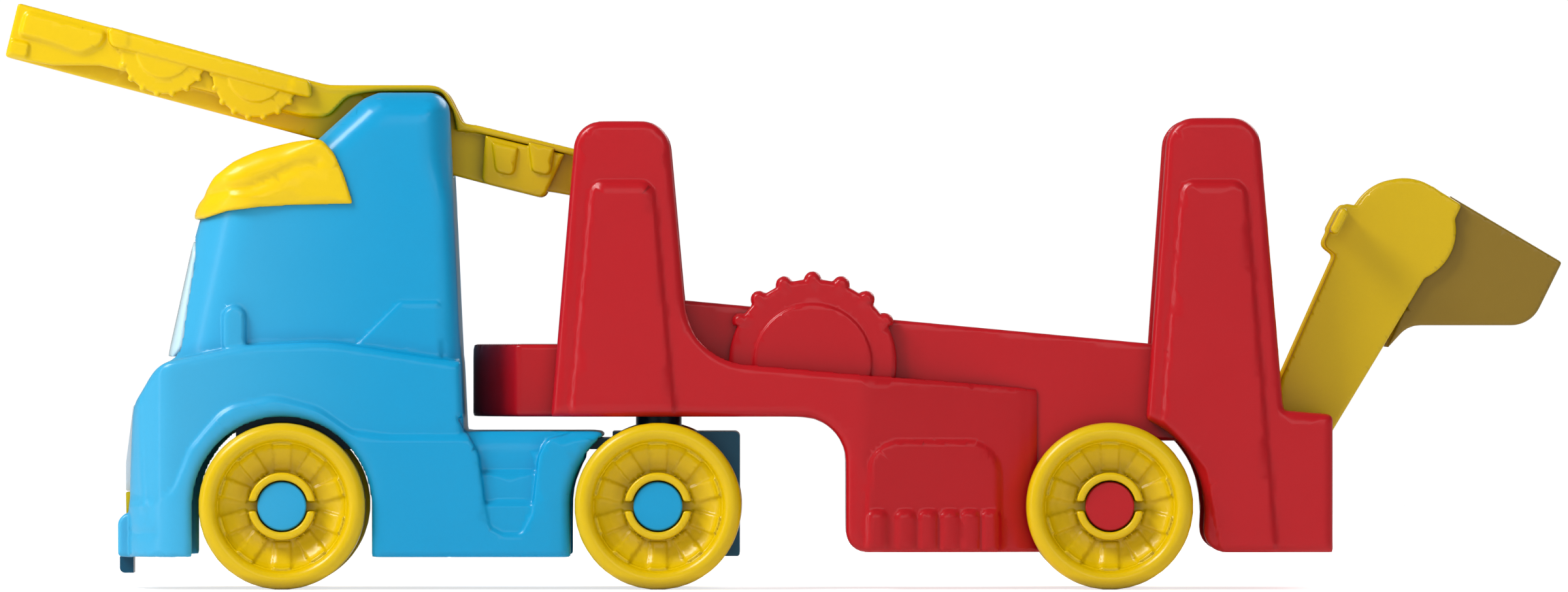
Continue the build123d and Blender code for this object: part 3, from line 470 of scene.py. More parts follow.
def wheel_body(x, y, z):
    """Left wheel about its own axle, its face towards -Y: ten tiles round a split snap ring."""
    depth = -y
    radius = np.hypot(x, z)
    turn = np.arctan2(x, z)
    share = 2 * math.pi / tile_count
    across = radius * np.sin((turn + share / 2) % share - share / 2)
    along = radius * np.cos((turn + share / 2) % share - share / 2)
    profile = outline(wheel_profile, radius, depth)
    half_tile = 3.15 + 0.55 * (along - 13.5) / 10.5
    tile = corner(np.abs(across) - half_tile, np.abs(along - 18.7) - 5.3, 0.8)
    solid = profile - 0.9 * rise(tile, 0.8) * (depth > 9.5) * (radius < 24.6)
    ring = corner(np.abs(radius - ring_radius) - 1.5, np.abs(depth - 13.5) - 3.6, 0.7)
    ring = carve(ring, radius - 9.8)
    slots = corner(np.abs(z) - 1.85, 6 - np.abs(x), 0.3)
    ring = carve(ring, slots, 0.3)
    return unite(solid, ring, 0.4)


# ---- Shapes of the trailer

bulkhead_x = trailer_x + 56.5
compartment_x = trailer_x + 38
pin_hole_radius = 5.05
rod_hole_radius = 3.05
trough_line = ((coupling_x + 11, deck + 50), (trailer_x + 12.75, deck + 33.75))
nose_top = deck + 33.25
front_post_top = edge_of("front_side_left", 1, 2)
rear_post_top = edge_of("rear_side_left", 1, 2)
taper_start = coupling_x + 78
taper_end = trailer_x - wheel_radius + 6.5
side_taper = side_half - bed_half - 0.2


def trough_height(x):
    """Height of the bed wall's sloping top."""
    (x0, z0), (x1, z1) = trough_line
    return z0 + (z1 - z0) * (x - x0) / (x1 - x0)


bed_outline = [
    (coupling_x - nose_reach, underside, 0), (sill, underside, 17.5), (sill, floor_z, 8),
    (trailer_x + 15, floor_z, 1), (trailer_x + 15, wheel_radius + 25, 1),
    (compartment_x, wheel_radius + 25, 0), (compartment_x, floor_z, 9), (tail_x - wall, floor_z, 1),
    (tail_x - wall, deck + 7, 2), (trailer_x + 61, deck + 7, 2),
    (trailer_x + 59, trough_height(trailer_x + 59), 1),
    (coupling_x - 12, trough_height(coupling_x - 12), 2), (coupling_x - 12, nose_top, 2),
    (coupling_x - nose_reach, nose_top, 2),
]
trough_outline = [
    (coupling_x - nose_reach + wall, underside + wall, 0), (sill + wall, underside + wall, 20),
    (sill + wall, floor_z + wall, 3), (trailer_x + 15 - wall, floor_z + wall, 0),
    (trailer_x + 15 - wall, wheel_radius + 25 + wall, 0), (bulkhead_x, wheel_radius + 25 + wall, 0),
    (bulkhead_x, deck + 100, 0), (coupling_x - nose_reach + wall, deck + 100, 0),
]
compartment_outline = [
    (compartment_x + wall, floor_z + wall, 0), (tail_x + 5, floor_z + wall, 0),
    (tail_x + 5, deck + 100, 0), (bulkhead_x + wall, deck + 100, 0),
    (bulkhead_x + wall, wheel_radius + 25, 0), (compartment_x + wall, wheel_radius + 25, 0),
]
front_side_outline = [
    (coupling_x - 31.5, front_post_top, 11), (coupling_x + 3.8, front_post_top, 11),
    (coupling_x + 12, deck + 27.75, 26), (taper_end, deck + 15.8, 2), (taper_end, floor_z, 0),
    (sill, floor_z, 8), (sill, underside, 17.5), (coupling_x - 41, underside, 0.5),
]
front_pad_outline = [
    (coupling_x - 25.3, deck + 95.25, 5), (coupling_x - 2.2, deck + 95.25, 5),
    (coupling_x + 7.0, underside - 8, 0), (coupling_x - 34.2, underside - 8, 0),
]
toolbox_outline = (about(sill, 0, [(6.6, 0, 0)]) +
    about(sill, deck, [(9, -4.25, 12), (58.5, -4.25, 12)]) +
    about(sill, 0, [(59.5, 0, 0)]))
rib_starts = (8.2, 19.0, 27.75, 36.0, 43.75, 51.8)
rib_width = 7.6
rib_top = 15.7
rear_side_outline = [
    (trailer_x + 22.3, rear_post_top, 11), (trailer_x + 57, rear_post_top, 11),
    (trailer_x + 66.6, deck + 8, 2), (tail_x, deck + 6.4, 2.5), (tail_x, floor_z, 0.6),
    (trailer_x + wheel_radius + 4, floor_z, 8.5), (trailer_x + wheel_radius + 4, wheel_radius, 0),
    (trailer_x + 14, deck + 3, 0),
]
rear_pad_outline = [
    (trailer_x + 28, deck + 95.25, 5), (trailer_x + 51.6, deck + 95.25, 5),
    (trailer_x + 64.4, floor_z - 8, 0), (trailer_x + 44, floor_z - 8, 0),
    (trailer_x + 36.5, wheel_radius + 14, 6), (trailer_x + 20.2, deck + 3, 2),
]
disc_x = coupling_x + 59.25
disc_z = deck + 26
disc_radius = 32.2
disc_centre_radius = 22.6
knob_radius = 3.3
knob_share = math.radians(20)


def bed_body(x, y, z):
    """Trailer bed: nose, trough and the loader's compartment in one moulding."""
    swing = np.where(x < coupling_x, np.hypot(x - coupling_x, y), np.abs(y))
    solid = slab(outline(bed_outline, x, z), y, bed_half, edge=1.1)
    solid = limit(solid, swing - nose_reach, 1.2)
    trough = np.maximum(slab(outline(trough_outline, x, z), y, bed_half - wall, edge=1.2),
                        swing - nose_reach + wall)
    solid = carve(solid, trough, 0.8)
    solid = carve(solid, slab(outline(compartment_outline, x, z), y, bed_half - wall, edge=1.2), 0.8)
    solid = carve(solid, np.maximum(np.hypot(x - coupling_x, y) - 6.1, z - underside - 4))
    boss = np.maximum(np.hypot(x - trailer_x, z - wheel_radius) - 9, np.abs(np.abs(y) - 42.75) - 6.75)
    solid = unite(solid, boss, 0.8)
    pins = np.hypot(x - trailer_x, z - wheel_radius) - pin_hole_radius
    rod = np.hypot(x - rod_x, z - rod_z) - rod_hole_radius
    return carve(solid, np.maximum(np.minimum(pins, rod), 35 - np.abs(y)))


def front_side(x, y, z):
    """Left front side: post and outer wall with its panel, toolbox and ribs."""
    share = np.clip((x - taper_start) / (taper_end - taper_start), 0, 1)
    out = side_half - side_taper * share
    out = out + 1.3 * rise(outline(front_pad_outline, x, z), 1.0)
    out = out + 1.0 * rise(outline(toolbox_outline, x, z), 1.3)
    for start in rib_starts:
        middle = np.abs(x - sill - start - rib_width / 2) / (rib_width / 2)
        crown = np.sqrt(np.clip(1 - middle ** 4, 0, 1))
        out = out + 1.2 * crown * rise(z - floor_z - rib_top + 2.2 * middle ** 4, 1.4)
    side = outline(front_side_outline, x, z)
    solid = corner(side, -y - out, 3 - 2.4 * share)
    solid = limit(solid, y + bed_half + 0.05, 0.4)
    pocket = np.maximum(coupling_x + 13 - x, x - taper_end + wall)
    pocket = np.maximum(pocket, underside + 4 - z)
    return carve(solid, corner(pocket, -y - side_half + wall + side_taper * share, 1), 0.7)


def rear_side(x, y, z):
    """Left rear side: post, wheel arch and the compartment's outer wall."""
    out = side_half + 1.3 * rise(outline(rear_pad_outline, x, z), 1.0)
    arch = np.hypot(x - trailer_x, z - wheel_radius) - wheel_radius - 4
    side = carve(outline(rear_side_outline, x, z), arch, 1.5)
    return limit(corner(side, -y - out, 3), y + bed_half + 0.05, 0.4)


def disc_body(x, y, z):
    """Left knobbed half disc, standing in the pocket behind the outer wall."""
    radius = np.hypot(x - disc_x, z - disc_z)
    plate = corner(radius - disc_radius, np.abs(-y - bed_half - 2.55) - 2.45, 1.6)
    centre = corner(radius - disc_centre_radius, np.abs(-y - bed_half - 3) - 2.95, 0.5)
    solid = unite(plate, centre, 0.6)
    turn = (np.arctan2(x - disc_x, z - disc_z) + knob_share / 2) % knob_share - knob_share / 2
    ball = np.sqrt((radius * np.sin(turn)) ** 2 + (radius * np.cos(turn) - disc_radius + 0.2) ** 2
                   + (-y - bed_half - 2.3) ** 2) - knob_radius
    ball = np.maximum(ball, np.abs(-y - bed_half - 2.6) - 2.6)
    ball = np.maximum(ball, disc_radius * 0.45 - (z - disc_z))
    return limit(unite(solid, ball, 0.5), underside + 3.5 - z, 0.4)


# ---- Shapes of the loader and the chute

crest = (rod_x + 38.25, rod_z + 75.75)
crest_radius = 20.0
arm_outline = [
    (rod_x - 12, rod_z + 1.75, 1), (rod_x - 9, rod_z + 18.75, 4),
    (crest[0] - crest_radius * 0.93, crest[1] + crest_radius * 0.37, 0),
    (crest[0] + crest_radius * 0.55, crest[1] + crest_radius * 0.84, 0),
    (rod_x + 60.5, rod_z + 85.5, 1.5), (rod_x + 50, rod_z + 63.75, 0), (rod_x + 6, rod_z - 9.25, 1),
]
arm_tab_outline = about(rod_x, rod_z, [(14.75, 86.2, 3), (7, 70, 3), (13.5, 65, 1), (30, 75, 0),
    (24, 84.5, 1)])
arm_lug = about(rod_x, rod_z, [(11.4, 76.2), (14.6, 82.4)])
scoop_outline = about(rod_x, rod_z, [(56, 89, 0), (99, 63.5, 1), (87, 39.25, 12), (40, 39.25, 10),
    (31.5, 30, 0)])
scoop_inner = [
    (rod_x + 54, rod_z + 95, 0), (rod_x + 110, rod_z + 62, 0), (rod_x + 96, rod_z + 60.4, 0),
    (rod_x + 85.5, rod_z + 39.25 + wall, 11), (rod_x + 38, rod_z + 39.25 + wall, 9),
    (rod_x + 28, rod_z + 29, 0),
]
slide_outline = about(rod_x, rod_z, [(-6.5, 18.75, 0), (22, 80, 0), (24.5, 79, 0), (-4, 17.5, 0)])
rim_top = (about(front_x, deck, [(-102, 164.25, 1), (17, 132.75, 12)]) +
    about(cab_back, deck, [(-8, 132.75, 10), (-0.6, 118, 3), (4.8, 117.25, 2)]) +
    about(coupling_x, deck, [(-22, 105.75, 0)]))
rim_under = (about(coupling_x, deck, [(-22, 103.2, 0)]) +
    about(cab_back, deck, [(4.5, 114.6, 1), (-3.2, 115.4, 0.5), (-4.6, 123, 6), (-9, 130.25, 4)]) +
    about(front_x, deck, [(17, 130.25, 10), (-102.5, 161.7, 0)]))
channel_outline = rim_top + [
    (coupling_x - 22, deck + 88.2, 0), (coupling_x - 40, deck + 91.6, 2), (*chute_tail, 6),
    (*chute_foot, 1),
]
channel_inner = (about(front_x, deck, [(-99.8, 200, 0)]) +
    about(coupling_x, deck, [(0, 200, 0), (0, 86.4, 0), (-40, 93.7, 2)]) +
    about(front_x, deck, [(78.3, 96.9, 6), (-104.5, 145.2, 1)]))
cheek_outline = [
    (front_x - 70, deck + 154, 0), (front_x - 70, chute_under(front_x - 70) + 7.3, 0),
    (front_x + 7, chute_under(front_x + 7) + 7.4, 6), (front_x + 17, deck + 120.4, 7),
    (front_x + 24.5, deck + 128.4, 7), (front_x + 38, deck + 131.3, 0), (front_x + 18, deck + 131.8, 3),
]
front_block = [
    (front_x - 102, deck + 164.25, 1), (*chute_foot, 1), (front_x - 88.5, deck + 140.25, 4),
    (front_x - 70.5, deck + 140.25, 4), (front_x - 60.5, deck + 137.8, 0.5),
    (front_x - 61.8, deck + 153.7, 0),
]
pillow_outline = about(front_x, deck, [(-99, 161, 2), (-101.5, 152, 2), (-90, 149, 4), (-78, 144.5, 6),
    (-70, 148, 5), (-68, 153, 2)])
block_pad_outline = about(front_x, deck, [(-105, 150.5, 1.5), (-106, 144.6, 1.5), (-98.5, 142.8, 1.5),
    (-97.5, 148.8, 1.5)])
rail_outline = about(front_x, deck, [(-68, 155.4, 1.5), (-66, 147.7, 1.5), (11.5, 127.4, 1.5),
    (9.8, 134.4, 1.5)])
rail_ends = about(front_x, deck, [(-64, 150.6), (7.5, 131.6)])
half_disc_centres = about(front_x, deck, [(-45.6, 146.25), (-10.5, 137.25)])
half_disc_radius = 16.9
clip_outline = about(coupling_x, deck, [(-66.5, 113.6, 0), (-68, 95.25, 3), (-44, 89.25, 3),
    (-36, 106.2, 0)])
clip_pads = (coupling_x - 64, coupling_x - 50)


def arm_body(x, y, z):
    """Left loader arm with its stop tab and grip bar."""
    side = unite(outline(arm_outline, x, z), np.hypot(x - crest[0], z - crest[1]) - crest_radius, 0.5)
    side = unite(side, outline(arm_tab_outline, x, z), 1.5)
    solid = slab(side, y, arm_thickness - loader_half, -loader_half, edge=1.0)
    lug = slab(line(arm_lug, x, z) - 1.7, y, arm_thickness - loader_half, -side_half + 4, edge=1.2)
    solid = unite(solid, lug, 0.8)
    return carve(solid, np.hypot(x - rod_x, z - rod_z) - 3.06)


def scoop_body(x, y, z):
    """Scoop between the arms, open at its top and front."""
    solid = slab(outline(scoop_outline, x, z), y, scoop_half - 0.05, edge=0.9)
    return carve(solid, slab(outline(scoop_inner, x, z), y, scoop_half - wall, edge=1), 0.7)


def slide_body(x, y, z):
    """Sloping sheet that joins the two arms."""
    side = outline(slide_outline, x, z)
    ribs = 0.5 * bead((np.abs(y) - 24), 1.2) + 0.5 * bead((np.abs(y) - 8), 1.2)
    return slab(side + 0.3, y, scoop_half - 0.05, edge=0.3) - np.minimum(ribs, 0.5) * (side < 1.5)


def chute_channel(x, y, z):
    """Channel with the rim that steps over the tower, and its cheeks."""
    solid = slab(outline(channel_outline, x, z), y, chute_half, edge=1)
    rim = slab(outline(rim_top + rim_under, x, z), y, chute_rim_half, edge=1)
    cheek = slab(outline(cheek_outline, x, z), np.abs(y), chute_half - 1, chute_rim_half, edge=0.9)
    solid = unite(unite(solid, rim, 0.6), cheek, 1)
    inner = outline(channel_inner, x, z)
    return carve(solid, slab(inner, y, chute_half - 2, edge=1.2), 0.8)


def chute_side(x, y, z):
    """Left chute side: end block with its pillow, rail and two knobbed half discs."""
    depth = -y - chute_rim_half
    relief = 1.2 + 1.5 * rise(outline(pillow_outline, x, z), 2.2)
    relief = relief + 1.2 * rise(outline(block_pad_outline, x, z), 1.2)
    block = corner(outline(front_block, x, z), depth - relief, 1)
    rail = line(rail_ends, x, z) - 3.2
    ends = np.minimum(*(np.hypot(x - end_x, z - end_z) for end_x, end_z in rail_ends))
    bar = corner(outline(rail_outline, x, z), depth - 3.0 - 0.7 * rise(ends - 5, 2), 1.1)
    solid = unite(block, unite(bar, corner(rail, depth - 3.3, 1), 0.4), 0.5)
    for centre_x, centre_z in half_disc_centres:
        radius = np.hypot(x - centre_x, z - centre_z)
        plate = corner(radius - half_disc_radius, depth - 2.0, 0.9)
        plate = unite(plate, corner(radius - 11, depth - 2.5, 0.5), 0.3)
        turn = np.arctan2(x - centre_x, z - centre_z) % knob_share - knob_share / 2
        ball = np.sqrt((radius * np.sin(turn)) ** 2 + (radius * np.cos(turn) - half_disc_radius) ** 2
                       + (depth - 1.0) ** 2) - 1.35
        plate = unite(plate, ball, 0.3)
        above = z - (deck + 152 + (x - front_x + 68) * -0.2625)
        solid = unite(solid, np.maximum(plate, above), 0.4)
    return limit(solid, -depth, 0.2)


def clip_body(x, y, z):
    """Left clip block with two tapered pads."""
    solid = slab(outline(clip_outline, x, z), y, -chute_half, -chute_rim_half, edge=1.4)
    for pad_x in clip_pads:
        pad = outline([(pad_x, deck + 111, 0), (pad_x + 1.5, deck + 99.5, 2.4),
                       (pad_x + 8.5, deck + 97.8, 2.4), (pad_x + 10, deck + 108.5, 0)], x, z)
        solid = unite(solid, slab(pad, y, -chute_half - 2, -chute_rim_half - 1.5, edge=1), 0.6)
    return limit(solid, y + chute_half, 0.2)


# ---- Materials


def node_group(name, inputs, outputs):
    """Empty shader group with named inputs (name, kind, default) and outputs (name, kind)."""
    group = bpy.data.node_groups.new(name, "ShaderNodeTree")
    for label, kind, default in inputs:
        socket = group.interface.new_socket(name=label, in_out="INPUT", socket_type=f"NodeSocket{kind}")
        socket.default_value = default
    for label, kind in outputs:
        group.interface.new_socket(name=label, in_out="OUTPUT", socket_type=f"NodeSocket{kind}")
    return group, group.nodes.new("NodeGroupInput"), group.nodes.new("NodeGroupOutput")


def add_node(tree, kind, settings=None, **inputs):
    """Node with its settings, its inputs set to numbers or joined to other sockets."""
    node = tree.nodes.new(f"ShaderNode{kind}")
    for key, value in (settings or {}).items():
        setattr(node, key, value)
    for key, value in inputs.items():
        socket = node.inputs[int(key[1:])] if key[0] == "i" and key[1:].isdigit() else node.inputs[key]
        if isinstance(value, bpy.types.NodeSocket):
            tree.links.new(value, socket)
        else:
            socket.default_value = value
    return node


def noise(tree, scale, detail=3.0, roughness=0.5):
    """Noise in the piece's own space."""
    space = add_node(tree, "TexCoord").outputs["Object"]
    settings = {"Scale": scale, "Detail": detail, "Roughness": roughness}
    return add_node(tree, "TexNoise", Vector=space, **settings).outputs[0]


def spread(tree, value, low, high, out_low, out_high):
    """Value mapped from one range to another."""
    return add_node(tree, "MapRange", i0=value, i1=low, i2=high, i3=out_low, i4=out_high).outputs[0]


def calc(tree, operation, *values):
    """Result of a sum on numbers or sockets."""
    inputs = {f"i{number}": value for number, value in enumerate(values)}
    return add_node(tree, "Math", {"operation": operation}, **inputs).outputs[0]


def build_tone_group():
    """Colour of moulded plastic: drifts along the truck (on the cab a painted highlight and shade),
    mottles slightly and darkens in its hollows as painted shade.
    """
    group, given, result = node_group(
        "plastic_tone_painted_shade",
        [("Near colour", "Color", (1, 1, 1, 1)), ("Far colour", "Color", (1, 1, 1, 1)),
         ("From", "Float", -0.25), ("To", "Float", 0.2), ("Mottle", "Float", 0.04),
         ("Recess", "Float", 0.25)],
        [("Color", "Color")])
    space = add_node(group, "TexCoord").outputs["Object"]
    along = add_node(group, "SeparateXYZ", Vector=space).outputs[0]
    place_along = add_node(group, "MapRange", {"interpolation_type": "SMOOTHSTEP"}, i0=along,
                           i1=given.outputs["From"], i2=given.outputs["To"]).outputs[0]
    blend = add_node(group, "Mix", {"data_type": "RGBA"}, i0=place_along,
                     i6=given.outputs["Near colour"], i7=given.outputs["Far colour"]).outputs[2]
    speck = spread(group, noise(group, 900, 2), 0.3, 0.7, -0.12, 0.12)
    sway = calc(group, "ADD", noise(group, 22, 2), speck)
    swing = calc(group, "MULTIPLY_ADD", sway, given.outputs["Mottle"], 0.98)
    # Painted shade: the AO node darkens the colour in hollows, creases and between parts.
    open_air = add_node(group, "AmbientOcclusion", {"samples": 4}, Distance=0.006).outputs["AO"]
    deep = calc(group, "MULTIPLY", calc(group, "SUBTRACT", 1.0, open_air), given.outputs["Recess"])
    value = calc(group, "SUBTRACT", swing, deep)
    colour = add_node(group, "HueSaturation", Color=blend, Value=value).outputs[0]
    group.links.new(colour, result.inputs[0])


def build_gloss_group():
    """Moulded surface: uneven polish, fine handling scratches and a faint ripple."""
    group, given, result = node_group(
        "moulded_gloss",
        [("Roughness", "Float", 0.25), ("Unevenness", "Float", 0.025), ("Ripple", "Float", 0.05),
         ("Scratches", "Float", 0.03)],
        [("Roughness", "Float"), ("Normal", "Vector")])
    patches = spread(group, noise(group, 35, 4, 0.6), 0.3, 0.7, -1, 1)
    uneven = calc(group, "MULTIPLY_ADD", patches, given.outputs["Unevenness"], given.outputs["Roughness"])
    space = add_node(group, "TexCoord").outputs["Object"]
    warped = add_node(group, "Mapping", i0=space, i2=(0.4, 0.9, 0.6), i3=(1, 6, 30)).outputs[0]
    hair = add_node(group, "TexNoise", Vector=warped, Scale=60, Detail=6, Roughness=0.8).outputs[0]
    fine = spread(group, hair, 0.62, 0.72, 0, 1)
    total = calc(group, "MULTIPLY_ADD", fine, given.outputs["Scratches"], uneven)
    group.links.new(total, result.inputs["Roughness"])
    height = calc(group, "MULTIPLY_ADD", noise(group, 2500, 1), 0.05, noise(group, 90, 2))
    bump = add_node(group, "Bump", Strength=given.outputs["Ripple"], Distance=0.0006, Height=height)
    group.links.new(bump.outputs[0], result.inputs["Normal"])


def finish(name, near, far, reach, mottle, recess, roughness, scratches):
    """Material with the shared colour and polish, and its shader."""
    material = bpy.data.materials.new(name)
    material.use_nodes = True
    tree = material.node_tree
    shader = tree.nodes["Principled BSDF"]
    tone = add_node(tree, "Group", {"node_tree": bpy.data.node_groups["plastic_tone_painted_shade"]},
                    **{"Near colour": (*near, 1), "Far colour": (*far, 1), "From": reach[0],
                       "To": reach[1], "Mottle": mottle, "Recess": recess})
    gloss = add_node(tree, "Group", {"node_tree": bpy.data.node_groups["moulded_gloss"]},
                     Roughness=roughness, Scratches=scratches)
    tree.links.new(tone.outputs["Color"], shader.inputs["Base Color"])
    tree.links.new(gloss.outputs["Roughness"], shader.inputs["Roughness"])
    tree.links.new(gloss.outputs["Normal"], shader.inputs["Normal"])
    material.diffuse_color = (*near, 1)
    return material, shader


def plastic(name, near, far=None, reach=(-0.25, 0.2), roughness=0.3, recess=0.45, coat=0.12, mottle=0.06):
    """Glossy moulded plastic in one dye, whose colour may drift from one to another along the truck; on
    the cab the drift is a painted highlight towards the nose and painted shade towards the tower.
    """
    material, shader = finish(name, near, far or near, reach, mottle, recess, roughness, 0.03)
    shader.inputs["Specular IOR Level"].default_value = 0.28
    shader.inputs["Coat Weight"].default_value = coat
    shader.inputs["Coat Roughness"].default_value = 0.12
    return material


def steel(name):
    """Zinc-plated steel with fine scratches."""
    near, far = (0.55, 0.55, 0.56), (0.5, 0.5, 0.5)
    # The 0.25 is the painted shade in the steel's hollows.
    material, shader = finish(name, near, far, (-0.25, 0.2), 0.04, 0.25, 0.35, 0.3)
    shader.inputs["Metallic"].default_value = 1.0
    return material


materials = {}


def build_materials():
    """All finishes of the truck, made once."""
    build_tone_group()
    build_gloss_group()
    dyes = bpy.context.scene.truck_dyes
    blue, pale, deep = tuple(dyes.blue), tuple(dyes.painted_highlight_blue), tuple(dyes.teal)
    yellow, ochre, red = tuple(dyes.yellow), tuple(dyes.ochre), tuple(dyes.red)
    # Painted light: the cab runs from a paler blue at its nose, a painted highlight, to a darker blue at
    # the tower, painted shade.
    materials["blue"] = plastic("blue_moulding", pale, blue, (-0.27, -0.14))
    # Painted shade: the chassis is a dark blue that stands in for the shade under the cab.
    materials["teal"] = plastic("teal_chassis", deep)
    materials["yellow"] = plastic("yellow_moulding", yellow)
    materials["chute"] = plastic("yellow_chute", yellow, tuple(0.80 * v for v in yellow), (-0.26, -0.12))
    # The wheel's hollows get a stronger painted shade.
    materials["wheel"] = plastic("yellow_wheel", tuple(0.86 * v for v in yellow), recess=0.6)
    materials["loader"] = plastic("yellow_loader", tuple(0.78 * v for v in yellow))
    # Painted shade: the scoop is a brown yellow that stands in for the shade between the arms.
    materials["ochre"] = plastic("ochre_scoop", ochre)
    materials["red"] = plastic("red_moulding", red, mottle=0.08)
    materials["screen"] = plastic("pale_windscreen", tuple(dyes.windscreen), coat=0.6, roughness=0.1)
    materials["white"] = plastic("white_trim", (0.85, 0.85, 0.84))
    materials["steel"] = steel("screw_steel")


class TruckColoursAndPaintedLight(bpy.types.PropertyGroup):
    """Colours of the plastics, as light-linear values; the nose's paler blue is a painted highlight, and
    the chassis's dark blue and the scoop's brown yellow are painted shade.
    """

    blue: bpy.props.FloatVectorProperty(
        name="Blue", description="Cab and tower", subtype="COLOR", default=(0.002, 0.345, 0.66))
    # Painted highlight: a paler blue that the cab takes towards its nose.
    painted_highlight_blue: bpy.props.FloatVectorProperty(
        name="Pale blue", description="Cab towards its nose", subtype="COLOR", default=(0.06, 0.45, 0.76))
    # Painted shade: a dark blue for the chassis and kingpin, standing in for the shade under the cab and
    # trailer.
    teal: bpy.props.FloatVectorProperty(
        name="Teal", description="Chassis", subtype="COLOR", default=(0.003, 0.085, 0.16))
    yellow: bpy.props.FloatVectorProperty(
        name="Yellow", description="Visor, chute and wheels", subtype="COLOR", default=(0.90, 0.60, 0.0))
    # Painted shade: a brown yellow for the scoop, standing in for the shade on its sides between the
    # arms.
    ochre: bpy.props.FloatVectorProperty(
        name="Ochre", description="Scoop", subtype="COLOR", default=(0.27, 0.165, 0.012))
    red: bpy.props.FloatVectorProperty(
        name="Red", description="Trailer", subtype="COLOR", default=(0.50, 0.005, 0.011))
    windscreen: bpy.props.FloatVectorProperty(
        name="Windscreen", description="Windscreen pane", subtype="COLOR", default=(0.62, 0.85, 0.95))


class TruckSizes(bpy.types.PropertyGroup):
    """Fineness of the meshes and the camera's lens."""

    body_step: bpy.props.FloatProperty(
        name="Body step", description="Sample distance of the large mouldings", unit="LENGTH",
        default=0.00085, min=0.0004, max=0.003, precision=5)
    detail_step: bpy.props.FloatProperty(
        name="Detail step", description="Sample distance of wheels and small pieces", unit="LENGTH",
        default=0.0006, min=0.0003, max=0.003, precision=5)
    lens: bpy.props.FloatProperty(
        name="Lens", description="Focal length in millimetres", unit="CAMERA", default=600.0, min=50.0)


def body_step():
    return MM * bpy.context.scene.truck_sizes.body_step


def detail_step():
    return MM * bpy.context.scene.truck_sizes.detail_step


def room(node, margin=2.0):
    """A node's box in millimetres with a margin round it."""
    low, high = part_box(node)
    return tuple(MM * v - margin for v in low), tuple(MM * v + margin for v in high)


class TRUCK_OT_cab(bpy.types.Operator):
    """Blue cab body with its tower, wings, skirts and steps"""

    bl_idname = "truck.cab"
    bl_label = "Cab body"

    def execute(self, context):
        surface = cast(cab_body, *room("cab_shell"), body_step(), centred=True)
        place("cab_body", surface, materials["blue"], "tractor", "blue_body", "cab_shell")
        return {"FINISHED"}


class TRUCK_OT_visor(bpy.types.Operator):
    """Yellow sun visor over the windscreen"""

    bl_idname = "truck.visor"
    bl_label = "Sun visor"

    def execute(self, context):
        surface = cast(visor_body, *room("visor"), detail_step(), centred=True)
        place("sun_visor", surface, materials["yellow"], "tractor", "yellow_parts", "visor")
        return {"FINISHED"}


class TRUCK_OT_windscreen(bpy.types.Operator):
    """Pale windscreen that wraps round the cab's corners"""

    bl_idname = "truck.windscreen"
    bl_label = "Windscreen"

    def execute(self, context):
        low, high = room("windscreen", 4)
        reach_back = front_x - 10
        surface = cast(window_pane, (low[0], -56, low[2]), (reach_back, 56, high[2]), detail_step(),
                       centred=True)
        place("wrapped_windscreen", surface, materials["screen"], "tractor", "windscreen", "windscreen")
        return {"FINISHED"}


class TRUCK_OT_fixings(bpy.types.Operator):
    """Chassis, grille, headlamps, pins and screws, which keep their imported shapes"""

    bl_idname = "truck.fixings"
    bl_label = "Chassis and fixings"

    def execute(self, context):
        # The chassis, kingpin and cap take the dark blue of painted shade.
        finish_nodes(materials["teal"], "tractor_chassis", "kingpin", "kingpin_cap")
        finish_nodes(materials["white"], "radiator_grille")
        finish_nodes(materials["yellow"], "headlamp_left", "headlamp_right")
        finish_nodes(materials["steel"], "chassis_screws", "trailer_screws", "loader_rod")
        for axle, dye in (("front", "blue"), ("drive", "blue"), ("trailer", "red")):
            finish_nodes(materials[dye], f"axle_pin_{axle}_left", f"axle_pin_{axle}_right")
        return {"FINISHED"}


class TRUCK_OT_wheels(bpy.types.Operator):
    """Six dished wheels with raised tiles"""

    bl_idname = "truck.wheels"
    bl_label = "Wheels"

    def execute(self, context):
        reach = wheel_radius + 1.5
        width = half_width - wheel_inner
        surface = cast(wheel_body, (-reach, -width - 1.5, -reach), (reach, 1.5, reach), detail_step())
        mesh = mesh_of("tiled_wheel", surface)
        for axle, axle_x in (("front", front_x), ("drive", coupling_x), ("trailer", trailer_x)):
            for side_name, side in (("left", -1), ("right", 1)):
                name = f"{axle}_wheel_{side_name}"
                piece = bpy.data.objects.new(f"tiled_{name}", mesh)
                piece.location = Vector((axle_x, side * wheel_inner, wheel_radius)) / MM
                piece.rotation_euler[2] = 0 if side < 0 else math.pi
                bpy.context.scene.collection.objects.link(piece)
                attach(piece, name)
                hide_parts(f"wheel_{axle}_{side_name}")
        mesh.materials.append(materials["wheel"])
        return {"FINISHED"}


class TRUCK_OT_bed(bpy.types.Operator):
    """Red trailer bed with its trough"""

    bl_idname = "truck.bed"
    bl_label = "Trailer bed"

    def execute(self, context):
        nose, tail = room("trailer_nose"), room("trailer_tail")
        low = (nose[0][0], -half_width, tail[0][2])
        high = (tail[1][0], half_width, nose[1][2])
        surface = cast(bed_body, low, high, body_step(), centred=True)
        place("trailer_tub", surface, materials["red"], "trailer", "red_body",
              "trailer_nose", "trailer_trough", "trailer_tail")
        return {"FINISHED"}


class TRUCK_OT_sides(bpy.types.Operator):
    """Posts and outer walls on both sides of the trailer"""

    bl_idname = "truck.sides"
    bl_label = "Trailer sides"

    def execute(self, context):
        for name, field in (("front_side", front_side), ("rear_side", rear_side)):
            surface = cast(field, *room(f"{name}_left"), body_step())
            pair(f"{name}_panel", surface, materials["red"], "trailer", "red_body", name)
        return {"FINISHED"}


